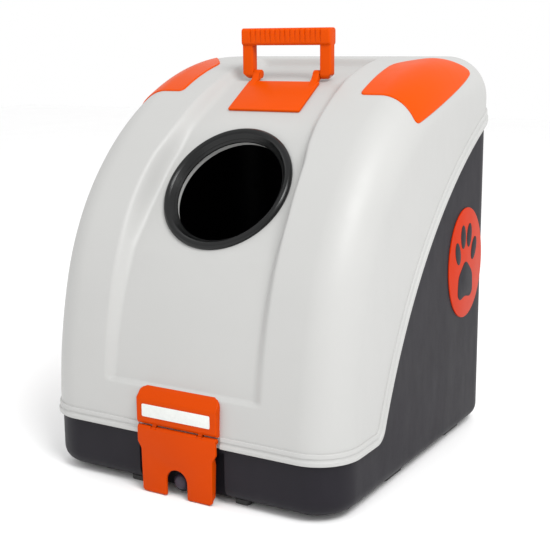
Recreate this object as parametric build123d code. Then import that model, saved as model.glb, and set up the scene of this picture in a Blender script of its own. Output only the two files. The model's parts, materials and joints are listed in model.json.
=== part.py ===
from build123d import *
import math
import os

# Hooded box in two clamshell halves: a dark tub with a high back, and a white hood hinged to the
# top of the back. Millimetres. X is across, -Y is the front, +Z is up. It is drawn about the middle
# of the tub with Z = 0 near the tub's underside, and write() moves each piece so that the origin is
# on the floor, under the middle of the whole box.

# ---- driving dimensions ----
HALF_WIDTH = 210.0          # hood side face
FRONT_Y = -234.0            # foot of the hood's front
BACK_Y = 235.0              # hood's back wall
TOP_Z = 500.0               # crown of the hood
UNDERSIDE_Z = -4.0          # foot of the side outline; the tub starts TUB_STEP above it
FLOOR_Z = -8.5              # floor that the feet stand on
SPLIT_Z = 62.0              # height of the front split line
HINGE_Z = 428.0             # height of the hood hinge
WALL = 3.0                  # moulded wall
SHOULDER_R = 52.0           # rolling radius between front, top and sides
BACK_R = 55.0               # radius from top to back
TUB_STEP = 2.0              # tub side lies this far inside the hood side
RIM_PROUD = 3.0             # flared rim stands this far off the hood
RIM_HEIGHT = 14.0           # width of the flared rim
SPLIT_GAP = 0.5             # gap between tub and hood rims
FIT_GAP = 0.4               # gap round an inlaid piece
CUT = 600.0                 # length of a tool that cuts right through

FOOT_PADS = ((186.0, -51.0, 16.0, 48.0), (186.0, 137.0, 16.0, 52.0), (76.0, -214.0, 20.0, 12.0))
LIP_HEIGHT = 5.0            # locating lip inside the hood's rim
LIP_END_Y = 150.0

RING_CENTRE = (0.0, -122.0, 348.0)
RING_SLOPE = 51.0           # degrees from level, rising to the back
RING_R = 86.0
RING_HIGH = 6.0             # bezel stands this far off the channel's floor
HOLE_R = 73.0
SLEEVE_R = 70.5
SLEEVE_DEEP = 7.0
COLLAR_DEEP = 15.0
CHANNEL_HALF = 108.0        # half width of the channel down the front
CHANNEL_FOOT_Z = 118.0      # lower end of the channel
CHANNEL_END_Y = 100.0       # rear end of the channel
CHANNEL_ROOT_R = 12.0

INSERT_X = 130.0            # inner edge of the corner inserts
INSERT_Y = (-27.0, 155.0)
INSERT_BEND_Y = 76.0         # where the inner edge turns outwards
INSERT_REAR_X = 194.5        # outer end of the slanting rear edge
INSERT_PROUD = 1.5
INSERT_SUNK = 1.5

PLATE_SLOPE = 32.0          # degrees from level
PLATE_SET_BACK = 35.0       # from the top of the ring's flat to the front of the plate
PLATE_HALF = 52.0
PLATE_LONG = 56.0
PLATE_THICK = 3.5
HANDLE_PIVOT = (0.0, 26.0, 480.0)
HANDLE_HALF = 65.5          # outside of the handle's posts
HANDLE_TOP_Z = 538.5
HANDLE_PIN_R = 3.0
LUG_R = 6.0
LUG_WIDE = 12.0
POST_WIDE = 13.0
POST_DEEP = 12.0
FOOT_CHAMFER = 9.0          # side of the square that chamfers the foot of each post
GRIP_TALL = 22.0
GRIP_DEEP = 18.0
RIB_COUNT = 15
RIB_PITCH = 7.4
GROOVE_WIDE = 2.6
GROOVE_DEEP = 1.0
PIN_CLEARANCE = 0.05

LATCH_HALF = 56.0           # half width of the latch
LATCH_PIVOT = (0.0, -238.4, 71.5)
LATCH_PIN_R = 1.8
EAR_CLEARANCE = 1.2
LATCH_EARS = (-33.0, 33.0)
EAR_R = 3.2
EAR_WIDE = 6.0
EAR_WEB_FRONT = 0.5         # the ear's web starts this far in front of the pin's axis
BARREL_R = 4.0
BRACKET_LOW = 76.5
BRACKET_FACE_Y = -241.5
LABEL_HALF = 48.5
LABEL_THICK = 0.7
LEVER_LOW_Z = -7.5
LEVER_THICK = 4.0
FLANGE_DEEP = 7.0            # side flanges behind the lever's plate
ARCH_HALF = 15.0
ARCH_Z = 10.5
HOOK_Y = -228.5
STRIKE_Y = -232.0
POCKET_HALF = 60.0
POCKET_BACK_Y = -221.0
BUTTON_Z = 9.5
BUTTON_R = 10.0
BUTTON_TIP_Y = -237.5
BUTTON_BACK_Y = -226.5
HOUSING_DEEP = 9.0

HINGE_Y = 245.0
HINGE_BARREL_R = 6.0
HINGE_PIN_R = 2.5
HINGE_AT = (-125.0, 125.0)
KNUCKLE_WIDE = 18.0
KNUCKLE_GAP = 0.6
BADGE_AT = (0.0, 134.0, 231.0)
BADGE_HALF = (58.0, 74.0)   # half length in Y, half height in Z
BADGE_THICK = 1.5
PAW_TOES = ((-28.0, 16.0, 20.0), (-10.5, 36.0, 6.0), (10.5, 36.0, -6.0), (28.0, 16.0, -20.0))
PAW_TOE_HALF = (8.5, 16.0)


def along(start, degrees, length):
    """Point (y, z) at a length from start, in a direction in degrees from +Y towards +Z."""
    return (start[0] + length * math.cos(math.radians(degrees)),
            start[1] + length * math.sin(math.radians(degrees)))


SEAT_LOW = along(RING_CENTRE[1:], RING_SLOPE, -90.0)    # ends of the flat that the ring sits on
SEAT_HIGH = along(RING_CENTRE[1:], RING_SLOPE, 88.0)
PLATE_FRONT = along(SEAT_HIGH, PLATE_SLOPE, PLATE_SET_BACK)
PLATE_HIGH = along(SEAT_HIGH, PLATE_SLOPE, 100.0)       # top end of the flat that the plate sits on

# front of the hood: tangent arcs as (radius, turn in degrees); the last one reaches the level top
FRONT_ARCS = ((640.0, 15.4), (350.0, 24.8))
LAST_TURN = 90.0 - sum(turn for _, turn in FRONT_ARCS)
ARC_START_Z = 64.0


def both_sides(shape):
    """The shape and its mirror image about X = 0."""
    return [shape, mirror(shape, Plane.YZ)]


def yz_prism(face, half_width):
    """Prism of a face drawn on the YZ plane, centred on X = 0."""
    return extrude(face, half_width, both=True)


def side_face(inset):
    """Side outline of the closed box, drawn in by inset. Sketch X is +Y and sketch Y is +Z."""
    with BuildSketch() as sketch:
        with BuildLine():
            up = Line((FRONT_Y, UNDERSIDE_Z), (FRONT_Y, ARC_START_Z))
            heading, end = 90.0, up @ 1
            for radius, turn in FRONT_ARCS:
                arc = JernArc(end, direction(heading), radius, -turn)
                heading, end = heading - turn, arc @ 1
            crown_r = (TOP_Z - end.Y) / (1 - math.cos(math.radians(LAST_TURN)))
            crown = JernArc(end, direction(heading), crown_r, -LAST_TURN)
            top = Line(crown @ 1, (BACK_Y - BACK_R, TOP_Z))
            back = JernArc(top @ 1, (1, 0), BACK_R, -90)
            down = Line(back @ 1, (BACK_Y, UNDERSIDE_Z))
            Line(down @ 1, up @ 0)
        make_face()
        if inset:
            offset(amount=-inset, mode=Mode.REPLACE, kind=Kind.INTERSECTION)
    return Plane.YZ * sketch.sketch.face()


def direction(degrees):
    """Unit (y, z) direction in degrees from +Y towards +Z."""
    return (math.cos(math.radians(degrees)), math.sin(math.radians(degrees)))


def envelope(inset=0.0):
    """The box's outside, drawn in by inset: a rounded prism of the side outline."""
    half = HALF_WIDTH - inset
    body = yz_prism(side_face(inset), half)
    long_edges = [e for e in body.edges()
                  if abs(abs(e.center().X) - half) < 0.01 and e.center().Z > UNDERSIDE_Z + inset + 1]
    body = fillet(long_edges, SHOULDER_R - inset)
    lower_edges = [e for e in body.edges()
                   if abs(e.center().Z - UNDERSIDE_Z - inset) < 0.5 and e.length > 1]
    return fillet(lower_edges, 20.0 - inset)


def split_face():
    """Region above the split line between tub and hood, seen from the side."""
    with BuildSketch() as sketch:
        with BuildLine():
            level = Line((-CUT, SPLIT_Z), (-123.5, SPLIT_Z))
            rise = ThreePointArc(level @ 1, (16.0, 283.0), (209.0, HINGE_Z - 10))
            Polyline(rise @ 1, (CUT, HINGE_Z - 10), (CUT, CUT * 2), (-CUT, CUT * 2), level @ 0)
        make_face()
        knee = sketch.vertices().sort_by_distance(Vector(-123.5, SPLIT_Z))[0]
        fillet(knee, 22.0)
        heel = sketch.vertices().sort_by_distance(Vector(209.0, HINGE_Z - 10))[0]
        fillet(heel, 50.0)
    return Plane.YZ * sketch.sketch.face()


def split_strip(low, high):
    """Prism of the strip from low to high above the split line."""
    region = split_face()
    return yz_prism(offset(region, -low), CUT / 2) - yz_prism(offset(region, -high), CUT)


def above_split(gap):
    """All that lies above the split line by more than gap."""
    return yz_prism(offset(split_face(), -gap), CUT / 2)


def channel_tool(grow):
    """Body of the channel down the hood's front: all that lies above the channel's floor."""
    with BuildSketch() as sketch:
        with BuildLine():
            rise = ThreePointArc((-227, CHANNEL_FOOT_Z - 6), (-213.5, 190), SEAT_LOW)
            floor = Polyline(rise @ 1, SEAT_HIGH, PLATE_HIGH, (CHANNEL_END_Y, 487))
            Polyline(floor @ 1, (CHANNEL_END_Y, CUT), (-CUT, CUT), (-CUT, CHANNEL_FOOT_Z),
                     rise @ 0)
        make_face()
        for spot, radius in ((SEAT_LOW, 70), (SEAT_HIGH, 90), (PLATE_HIGH, 60)):
            fillet(sketch.vertices().sort_by_distance(Vector(*spot))[0], radius)
        if grow:
            offset(amount=grow, mode=Mode.REPLACE)
    half = CHANNEL_HALF + grow
    tool = yz_prism(Plane.YZ * sketch.sketch.face(), half)
    sides = [e for e in tool.edges() if abs(abs(e.center().X) - half) < 0.01
             and e.center().Z < 489 and -229 < e.center().Y < CHANNEL_END_Y - 1 + grow]
    return tool, sides


def slope_plane(centre, slope):
    """Plane through centre, square to X, whose normal leans back from a face rising at slope."""
    return Plane(origin=centre, x_dir=(1, 0, 0),
                 z_dir=(0, -math.sin(math.radians(slope)), math.cos(math.radians(slope))))


def x_cylinder(radius, x_from, x_to, y, z):
    rod = Cylinder(radius, x_to - x_from, align=(Align.CENTER, Align.CENTER, Align.MIN))
    return Pos(x_from, y, z) * Rot(0, 90, 0) * rod


def y_cylinder(radius, y_from, y_to, x, z):
    rod = Cylinder(radius, y_to - y_from, align=(Align.CENTER, Align.CENTER, Align.MIN))
    return Pos(x, y_from, z) * Rot(-90, 0, 0) * rod


def box_between(low, high):
    size = [b - a for a, b in zip(low, high)]
    return Pos(*low) * Box(*size, align=(Align.MIN, Align.MIN, Align.MIN))


def yz_polygon(points, rounds=()):
    """Face on the YZ plane through (y, z) points; rounds lists (point index, radius)."""
    face = make_face(Polyline(*points, close=True))
    for index, radius in rounds:
        corner = face.vertices().sort_by_distance(Vector(*points[index]))[0]
        face = fillet(corner, radius)
    return Plane.YZ * face


# ---- tub ----

def latch_pocket(grow):
    """Set-back in the tub's front wall that leaves room behind the latch lever."""
    half = POCKET_HALF + grow
    top = SPLIT_Z - 7 + grow
    return box_between((-half, FRONT_Y - 60, -50), (half, POCKET_BACK_Y + grow, top))


def tub_shell():
    """Open tub with a high back, a latch pocket in front and a lip that locates the hood."""
    cavity = envelope(TUB_STEP + WALL) - latch_pocket(WALL)
    body = envelope(TUB_STEP) - latch_pocket(0) - cavity - above_split(-SPLIT_GAP / 2)
    lip = (envelope(WALL + 0.5) - envelope(WALL + 2.5)) & split_strip(-5, LIP_HEIGHT)
    return body + (lip & box_between((-CUT, -CUT, 0), (CUT, LIP_END_Y, CUT)))


def feet():
    """Low rubber pads under the sides and the front, as (x, y, width, length) in FOOT_PADS."""
    height = UNDERSIDE_Z + TUB_STEP - FLOOR_Z
    pads = []
    for x, y, wide, long in FOOT_PADS:
        pad = Pos(x, y, FLOOR_Z) * Box(wide, long, height, align=(Align.CENTER, Align.CENTER, Align.MIN))
        pad = fillet(pad.edges().filter_by(Axis.Z), 5)
        pads += both_sides(chamfer(pad.edges().group_by(Axis.Z)[0], 1.2))
    return pads


def badge():
    """Oval plate on the tub's cheek with a pet's paw print cut through it."""
    side = Plane(origin=(HALF_WIDTH - TUB_STEP, BADGE_AT[1], BADGE_AT[2]), x_dir=(0, 1, 0), z_dir=(1, 0, 0))
    face = Ellipse(*BADGE_HALF)
    heels = [Pos(x, -36) * Circle(13) for x in (-13, 13)]
    ball = Pos(0, -9) * Circle(12)
    sole = make_hull([*heels[0].edges(), *heels[1].edges(), *ball.edges()])
    face -= sole
    for x, y, tilt in PAW_TOES:
        face -= Pos(x, y) * Rot(0, 0, tilt) * Ellipse(*PAW_TOE_HALF)
    return side * extrude(face, BADGE_THICK)


def hinge_arm(x_from, x_to, points):
    """Hinge knuckle: a profile in YZ with the barrel round the hinge axis, bored for the pin."""
    arm = Pos(x_from, 0, 0) * extrude(yz_polygon(points), x_to - x_from, dir=(1, 0, 0))
    arm += x_cylinder(HINGE_BARREL_R, x_from, x_to, HINGE_Y, HINGE_Z)
    return arm - x_cylinder(HINGE_PIN_R + PIN_CLEARANCE, x_from - 1, x_to + 1, HINGE_Y, HINGE_Z)


def hinge_tub_knuckles():
    """Outer knuckles of the two rear hinges, on arms that run down the tub's back."""
    outer = HINGE_Y + HINGE_BARREL_R
    wall = BACK_Y - TUB_STEP
    near = HINGE_Y - HINGE_BARREL_R
    points = [(wall, 372), (wall + 5, 372), (outer, 412), (outer, HINGE_Z), (near, HINGE_Z),
              (near, 414), (wall, 414)]
    arms = []
    for middle in HINGE_AT:
        for side in (-1, 1):
            centre = middle + side * (KNUCKLE_WIDE + KNUCKLE_GAP)
            arms.append(hinge_arm(centre - KNUCKLE_WIDE / 2, centre + KNUCKLE_WIDE / 2, points))
    return arms


def hinge_hood_knuckles():
    """Middle knuckles of the two rear hinges, on the hood's back wall."""
    outer = HINGE_Y + HINGE_BARREL_R
    near = HINGE_Y - HINGE_BARREL_R
    points = [(BACK_Y, 436), (near, 436), (near, HINGE_Z), (outer, HINGE_Z), (outer, 440),
              (BACK_Y + 5, 470 - BACK_R / 2), (BACK_Y, 470 - BACK_R / 2)]
    half = KNUCKLE_WIDE / 2
    return [hinge_arm(middle - half, middle + half, points) for middle in HINGE_AT]


def hinge_pins():
    half = 1.5 * KNUCKLE_WIDE + KNUCKLE_GAP + 1
    return [x_cylinder(HINGE_PIN_R, middle - half, middle + half, HINGE_Y, HINGE_Z) for middle in HINGE_AT]


def latch_strike():
    """Bar across the latch pocket with a turned-down lip that holds the lever's hooks."""
    points = [(POCKET_BACK_Y, 44), (POCKET_BACK_Y, 48), (STRIKE_Y, 48), (STRIKE_Y, 40.5),
              (STRIKE_Y + 2.5, 40.5), (STRIKE_Y + 2.5, 44)]
    return yz_prism(yz_polygon(points), 34)


def lock_housing():
    """Open ring on the back of the latch pocket that guides the push button."""
    front = POCKET_BACK_Y - HOUSING_DEEP
    ring = y_cylinder(BUTTON_R + 3, front, POCKET_BACK_Y, 0, BUTTON_Z)
    return ring - y_cylinder(BUTTON_R + 0.3, front - 1, POCKET_BACK_Y + 1, 0, BUTTON_Z)


def lock_button():
    """Domed push button in the middle of the latch pocket."""
    shaft = y_cylinder(BUTTON_R, BUTTON_TIP_Y, BUTTON_BACK_Y, 0, BUTTON_Z)
    return fillet(shaft.edges().group_by(Axis.Y)[0], BUTTON_R - 3)


def button_spring():
    """Coil spring between the button and the back of the pocket."""
    wire, gap = 0.5, 0.15
    start = BUTTON_BACK_Y + wire + gap
    length = POCKET_BACK_Y - BUTTON_BACK_Y - 2 * wire - 2 * gap
    coil = Helix(pitch=length / 2.5, height=length, radius=6)
    section = Plane(origin=coil @ 0, z_dir=coil % 0) * Circle(wire)
    return Pos(0, start, BUTTON_Z) * Rot(-90, 0, 0) * sweep(section, path=coil)


# ---- hood ----

def insert_tool(grow):
    """Outline of the right corner insert, seen from above and from the side."""
    near, far = INSERT_X - grow, INSERT_X + 100
    front, rear = INSERT_Y[0] - grow, INSERT_Y[1] + grow
    corners = [(near, front), (far, front), (far, rear), (INSERT_REAR_X - 0.47 * grow, rear),
               (near, INSERT_BEND_Y + 0.36 * grow)]
    plan = make_face(Polyline(*corners, close=True))
    plan = fillet(plan.vertices().group_by(Axis.X)[0], 14)
    from_above = Pos(0, 0, 300) * extrude(plan, 300)
    outline = [(front, 520), (front, 450 - grow), (-15, 427 - grow), (rear, 478 - grow), (rear, 520)]
    from_side = extrude(yz_polygon(outline, ((2, 10), (3, 14))), CUT, dir=(1, 0, 0))
    return from_above & from_side


def corner_insert():
    """Skin that fills the recess on the hood's right shoulder and stands a little proud."""
    skin = envelope(-INSERT_PROUD) - envelope(INSERT_SUNK)
    return skin & insert_tool(0)


def ring_cylinder(radius, low, high):
    """Cylinder on the entry ring's axis, from low to high off the channel's floor."""
    rod = Cylinder(radius, high - low, align=(Align.CENTER, Align.CENTER, Align.MIN))
    return slope_plane(RING_CENTRE, RING_SLOPE) * Pos(0, 0, low) * rod


def channel(grow):
    """The channel's body with rounded roots along both walls."""
    tool, sides = channel_tool(grow)
    return fillet(sides, CHANNEL_ROOT_R + grow)


def hood_shell():
    """Hood with the channel and entry hole down its front, a flared rim and insert recesses."""
    body = (envelope(0) - channel(0)) - (envelope(WALL) - channel(WALL))
    body = body & above_split(SPLIT_GAP / 2)
    rim = (envelope(-RIM_PROUD) - envelope(WALL / 2)) & split_strip(SPLIT_GAP / 2, RIM_HEIGHT)
    notch = LATCH_HALF + 1 + FIT_GAP
    body += rim - (box_between((-notch, -CUT, 0), (notch, 0, RIM_HEIGHT + SPLIT_Z + 5)) - envelope(0))
    body += ring_cylinder(HOLE_R + WALL, -COLLAR_DEEP, -WALL / 2)
    body -= ring_cylinder(HOLE_R, -COLLAR_DEEP - 20, 30)
    recess = (envelope(-20) - envelope(INSERT_SUNK)) & insert_tool(FIT_GAP)
    for cut in both_sides(recess):
        body -= cut
    for screw in latch_bracket_screws(0.1) + handle_plate_screws(0.1):
        body -= screw
    return body


def entry_ring():
    """Rounded bezel round the entry hole, with a sleeve that lines the hole's edge."""
    outline = [(RING_R, 0), (RING_R, 2.5), (RING_R - 3.5, RING_HIGH), (SLEEVE_R + 3, RING_HIGH),
               (SLEEVE_R, RING_HIGH - 3), (SLEEVE_R, -SLEEVE_DEEP), (HOLE_R - FIT_GAP / 2, -SLEEVE_DEEP),
               (HOLE_R - FIT_GAP / 2, 0)]
    profile = Plane.XZ * make_face(Polyline(*outline, close=True))
    return slope_plane(RING_CENTRE, RING_SLOPE) * revolve(profile, Axis.Z)


def plate_plane():
    return slope_plane((0, PLATE_FRONT[0], PLATE_FRONT[1]), PLATE_SLOPE)


def handle_plate():
    """Plate on the channel's floor in front of the handle, with two lugs for the handle's pins."""
    slab = Box(2 * PLATE_HALF, PLATE_LONG, PLATE_THICK, align=(Align.CENTER, Align.MIN, Align.MIN))
    slab = fillet(slab.edges().filter_by(Axis.Z).group_by(Axis.Y)[0], 5)
    slab = fillet(slab.faces().sort_by(Axis.Z)[-1].edges(), 1.2)
    plate = plate_plane() * slab
    _, y, z = HANDLE_PIVOT
    for side in (-1, 1):
        start = side * (PLATE_HALF - LUG_WIDE / 2 - 1) - LUG_WIDE / 2
        web = yz_polygon([(y - 26, z - 22), (y - 16, z - 15.5), (y - 2, z - 5), (y, z), (y - 4, z + 4.5),
                          (y - 14, z - 1.5), (y - 28, z - 17.5)])
        plate += Pos(start, 0, 0) * extrude(web, LUG_WIDE, dir=(1, 0, 0))
        plate += x_cylinder(LUG_R, start, start + LUG_WIDE, y, z)
    plate -= x_cylinder(HANDLE_PIN_R + PIN_CLEARANCE, -PLATE_HALF, PLATE_HALF, y, z)
    for screw in handle_plate_screws(0.1):
        plate -= screw
    return plate


def screw(length, grow):
    """Pan-head screw with its head at Z < 0 and its shank up +Z."""
    head = Cylinder(3.6 + grow, 2.2 + grow, align=(Align.CENTER, Align.CENTER, Align.MAX))
    shank = Cylinder(1.5 + grow, length + grow, align=(Align.CENTER, Align.CENTER, Align.MIN))
    return head + shank


def handle_plate_screws(grow=0.0):
    """Two screws from inside the hood into the handle plate."""
    place = plate_plane()
    return [place * Pos(x, 24, -WALL) * screw(WALL + PLATE_THICK - 1, grow) for x in (-30, 30)]


def handle_pins(grow=0.0):
    """Two steel pins that join the handle's posts to the plate's lugs."""
    low, high = PLATE_HALF - LUG_WIDE - grow, HANDLE_HALF - 2 + grow
    return both_sides(x_cylinder(HANDLE_PIN_R + grow, low, high, HANDLE_PIVOT[1], HANDLE_PIVOT[2]))


def handle_bail():
    """Upright carrying handle: two posts and a ribbed grip bar, in one moulding."""
    _, y, z = HANDLE_PIVOT
    bar_low = HANDLE_TOP_Z - GRIP_TALL
    half_deep = GRIP_DEEP / 2
    bar = box_between((-HANDLE_HALF, y - half_deep, bar_low), (HANDLE_HALF, y + half_deep, HANDLE_TOP_Z))
    bar = fillet(bar.edges().filter_by(Axis.X), 4)
    groove = Pos(0, 0, bar_low + GRIP_TALL / 2) * Box(GROOVE_WIDE, 2 * GROOVE_DEEP, GRIP_TALL + 2)
    for index in range(RIB_COUNT):
        x = (index - (RIB_COUNT - 1) / 2) * RIB_PITCH
        bar -= Pos(x, y - half_deep, 0) * groove
        bar -= Pos(x, y + half_deep, 0) * groove
    inner = HANDLE_HALF - POST_WIDE
    post = box_between((inner, y - POST_DEEP / 2, z), (HANDLE_HALF, y + POST_DEEP / 2, bar_low + 4))
    post += x_cylinder(POST_DEEP / 2, inner, HANDLE_HALF, y, z)
    post -= Pos(HANDLE_HALF, 0, z - POST_DEEP / 2) * Rot(0, 45, 0) * Box(FOOT_CHAMFER, CUT, FOOT_CHAMFER)
    for side in both_sides(post):
        bar += side
    for pin in handle_pins(PIN_CLEARANCE):
        bar -= pin
    return bar


# ---- latch ----

def latch_bracket():
    """Nosed block on the hood's front foot that carries the latch lever and the label."""
    _, y, z = LATCH_PIVOT
    points = [(-220, BRACKET_LOW), (BRACKET_FACE_Y, BRACKET_LOW), (BRACKET_FACE_Y, 106), (-233, 118),
              (-226, 122.5), (-220, 122.5)]
    block = yz_prism(yz_polygon(points, ((2, 12), (3, 10))), LATCH_HALF + 1)
    block -= envelope(0) - channel(0)
    for x in LATCH_EARS:
        low, high = x - EAR_WIDE / 2, x + EAR_WIDE / 2
        ear = x_cylinder(EAR_R, low, high, y, z)
        ear += box_between((low, y - EAR_WEB_FRONT, z), (high, y + EAR_R, BRACKET_LOW + 2))
        block += ear - x_cylinder(LATCH_PIN_R + PIN_CLEARANCE, low - 1, high + 1, y, z)
    for hole in latch_bracket_screws(0.1):
        block -= hole
    return block


def latch_bracket_screws(grow=0.0):
    """Two screws from inside the hood into the latch bracket."""
    place = [Pos(x, FRONT_Y + WALL + 0.6, 94) * Rot(90, 0, 0) for x in (-32, 32)]
    return [at * screw(8, grow) for at in place]


def latch_label():
    """Plain blank label on the bracket's face."""
    return box_between((-LABEL_HALF, BRACKET_FACE_Y - LABEL_THICK, 86.5), (LABEL_HALF, BRACKET_FACE_Y, 102))


def latch_lever():
    """Swinging lever: a barrel at the top, a flanged plate with a finger arch, and two hooks behind."""
    _, y, z = LATCH_PIVOT
    half, low = LATCH_HALF, LEVER_LOW_Z
    outline = [(-half, z), (half, z), (half, 55), (half - 5, 47), (half - 6, low), (6 - half, low),
               (5 - half, 47), (-half, 55)]
    face = fillet(make_face(Polyline(*outline, close=True)).vertices(), 2)
    face -= Pos(0, ARCH_Z) * Circle(ARCH_HALF) + Pos(0, ARCH_Z - 14) * Rectangle(2 * ARCH_HALF, 28)
    plate = Plane.XZ * extrude(face, LEVER_THICK)
    plate = Pos(0, y - BARREL_R + LEVER_THICK, 0) * plate
    lever = plate + x_cylinder(BARREL_R, -half, half, y, z)
    back = y - BARREL_R + LEVER_THICK
    hook = [(back - 1, 33), (HOOK_Y + 3, 33), (HOOK_Y + 3, 40), (HOOK_Y, 40), (HOOK_Y, 37), (back - 1, 37)]
    for x in (-22, 22):
        lever += Pos(x - 4, 0, 0) * extrude(yz_polygon(hook), 8, dir=(1, 0, 0))
    for flange in both_sides(box_between((half - 9.5, back - 1, 3), (half - 6.5, back + FLANGE_DEEP, 46))):
        lever += flange
    for x in LATCH_EARS:
        reach = EAR_WIDE / 2 + FIT_GAP
        lever -= x_cylinder(EAR_R + EAR_CLEARANCE, x - reach, x + reach, y, z)
    return lever - x_cylinder(LATCH_PIN_R + PIN_CLEARANCE, -half - 1, half + 1, y, z)


def latch_pin():
    return x_cylinder(LATCH_PIN_R, -LATCH_HALF + 2, LATCH_HALF - 2, LATCH_PIVOT[1], LATCH_PIVOT[2])


def write(name, shapes):
    """Write one node's solids, moved so that the origin is on the floor under the box's middle."""
    shapes = shapes if isinstance(shapes, list) else [shapes]
    front = LATCH_PIVOT[1] - BARREL_R
    rear = HINGE_Y + HINGE_BARREL_R
    solids = [Pos(0, -(front + rear) / 2, -FLOOR_Z) * solid for shape in shapes for solid in shape.solids()]
    export_step(Compound(children=solids) if len(solids) > 1 else solids[0], f"parts/{name}.step")


def main():
    os.makedirs("parts", exist_ok=True)
    insert_pair = both_sides(corner_insert())
    badge_pair = both_sides(badge())
    write("tub_shell", tub_shell())
    write("feet", feet())
    write("badge_right", badge_pair[0])
    write("badge_left", badge_pair[1])
    write("hinge_tub_knuckles", hinge_tub_knuckles())
    write("hinge_pins", hinge_pins())
    write("latch_strike", latch_strike())
    write("lock_button", lock_button())
    write("lock_housing", lock_housing())
    write("button_spring", button_spring())
    write("hood_shell", hood_shell())
    write("hinge_hood_knuckles", hinge_hood_knuckles())
    write("entry_ring", entry_ring())
    write("corner_insert_right", insert_pair[0])
    write("corner_insert_left", insert_pair[1])
    write("handle_plate", handle_plate())
    write("handle_plate_screws", handle_plate_screws())
    write("handle_pins", handle_pins())
    write("handle_bail", handle_bail())
    write("latch_bracket", latch_bracket())
    write("latch_bracket_screws", latch_bracket_screws())
    write("latch_label", latch_label())
    write("latch_lever", latch_lever())
    write("latch_pin", latch_pin())


if __name__ == "__main__":
    main()
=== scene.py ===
import json
import logging
import math
from dataclasses import dataclass, field
from enum import Enum
from typing import Optional, Sequence

import bmesh
import bpy
import numpy as np
from mathutils import Euler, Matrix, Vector


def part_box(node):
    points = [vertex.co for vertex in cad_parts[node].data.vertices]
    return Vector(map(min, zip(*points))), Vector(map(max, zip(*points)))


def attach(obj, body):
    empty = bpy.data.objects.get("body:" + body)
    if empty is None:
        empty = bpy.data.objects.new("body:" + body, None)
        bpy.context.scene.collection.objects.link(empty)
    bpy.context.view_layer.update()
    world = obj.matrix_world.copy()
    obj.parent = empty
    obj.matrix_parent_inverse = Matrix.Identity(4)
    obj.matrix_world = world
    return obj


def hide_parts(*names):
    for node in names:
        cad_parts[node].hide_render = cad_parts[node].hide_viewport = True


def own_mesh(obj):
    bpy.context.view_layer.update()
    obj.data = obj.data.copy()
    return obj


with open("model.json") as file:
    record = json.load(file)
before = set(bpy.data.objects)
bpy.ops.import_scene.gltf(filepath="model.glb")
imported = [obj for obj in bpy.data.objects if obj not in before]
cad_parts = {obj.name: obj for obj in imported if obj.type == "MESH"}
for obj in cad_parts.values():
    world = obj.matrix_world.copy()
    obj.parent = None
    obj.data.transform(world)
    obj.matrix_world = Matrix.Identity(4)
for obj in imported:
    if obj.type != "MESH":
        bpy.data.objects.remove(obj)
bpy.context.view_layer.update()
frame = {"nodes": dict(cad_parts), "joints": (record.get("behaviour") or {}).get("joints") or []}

# Looks of a hooded pet box: a dark tub with high cheeks, a white hood hinged to its back, a dark
# entry ring, orange inserts, handle and latch. Shapes are worked out in millimetres about the
# middle of the tub, and row_frame() moves them to the model's own frame in metres.

Array = np.ndarray
LOG = logging.getLogger("pet_box")
SHARPEST = 0.05                 # least radius of a rounded corner, in millimetres
MERGE = 2e-6                    # points nearer than this are one, in metres
TINY = 1e-9
QUARTER = math.pi / 2
FULL = 2 * math.pi
FACING_X = ((0, 1, 0), (0, 0, 1), (1, 0, 0))        # axes of a slab whose height runs along X
FACING_Y = ((1, 0, 0), (0, 0, 1), (0, 1, 0))
FACING_FRONT = ((1, 0, 0), (0, 0, 1), (0, -1, 0))


# ---------------------------------------------------------------- curves and surfaces

def unit(vectors: Array) -> Array:
    """Vectors along the last axis, each scaled to length one."""
    return vectors / np.maximum(np.linalg.norm(vectors, axis=-1, keepdims=True), 1e-12)


def ease(share: Array) -> Array:
    """Smooth step: 0 below 0, 1 above 1, and 3t^2 - 2t^3 in between."""
    t = np.clip(share, 0.0, 1.0)
    return t * t * (3.0 - 2.0 * t)


@dataclass(frozen=True)
class ArcChain:
    """Plane curve of straight runs and arcs that meet smoothly, measured by its length."""

    start: tuple[float, float]
    heading: float
    runs: tuple[tuple[float, float], ...]

    @property
    def length(self) -> float:
        """Length of the whole curve."""
        return float(sum(run for run, _ in self.runs))

    def at(self, stations: Array) -> tuple[Array, Array]:
        """Points and headings at lengths from the start.

        A run of length L that turns by T has curvature k = T / L. Its heading is h = h0 + k s, and its
        point is p0 + ((sin h - sin h0) / k, (cos h0 - cos h) / k).

        Args:
            stations: lengths from the start, of any shape.

        Returns:
            Points with a last axis of two, and headings in radians.
        """
        lengths = np.array([run for run, _ in self.runs])
        turns = np.radians([turn for _, turn in self.runs])
        bends = np.where(np.abs(turns) < TINY, 1e-7, turns) / lengths
        ends = np.cumsum(lengths)
        first = math.radians(self.heading) + np.concatenate([[0.0], np.cumsum(turns)[:-1]])
        last = first + bends * lengths
        steps = np.stack([(np.sin(last) - np.sin(first)) / bends,
                          (np.cos(first) - np.cos(last)) / bends], -1)
        starts = np.array(self.start) + np.vstack([np.zeros(2), np.cumsum(steps, 0)[:-1]])
        run = np.clip(np.searchsorted(ends, stations), 0, len(lengths) - 1)
        heading = first[run] + bends[run] * (stations - (ends - lengths)[run])
        x = starts[run, 0] + (np.sin(heading) - np.sin(first[run])) / bends[run]
        y = starts[run, 1] + (np.cos(first[run]) - np.cos(heading)) / bends[run]
        return np.stack([x, y], -1), heading


def path_length(curve: Array) -> Array:
    """Length along a curve at each of its points."""
    return np.concatenate([[0.0], np.cumsum(np.linalg.norm(np.diff(curve, axis=0), axis=1))])


def resampled(curve: Array, lengths: Array) -> Array:
    """Points on a curve at the given lengths, straight between its own points."""
    along = path_length(curve)
    return np.stack([np.interp(lengths, along, curve[:, i]) for i in range(curve.shape[1])], -1)


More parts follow.
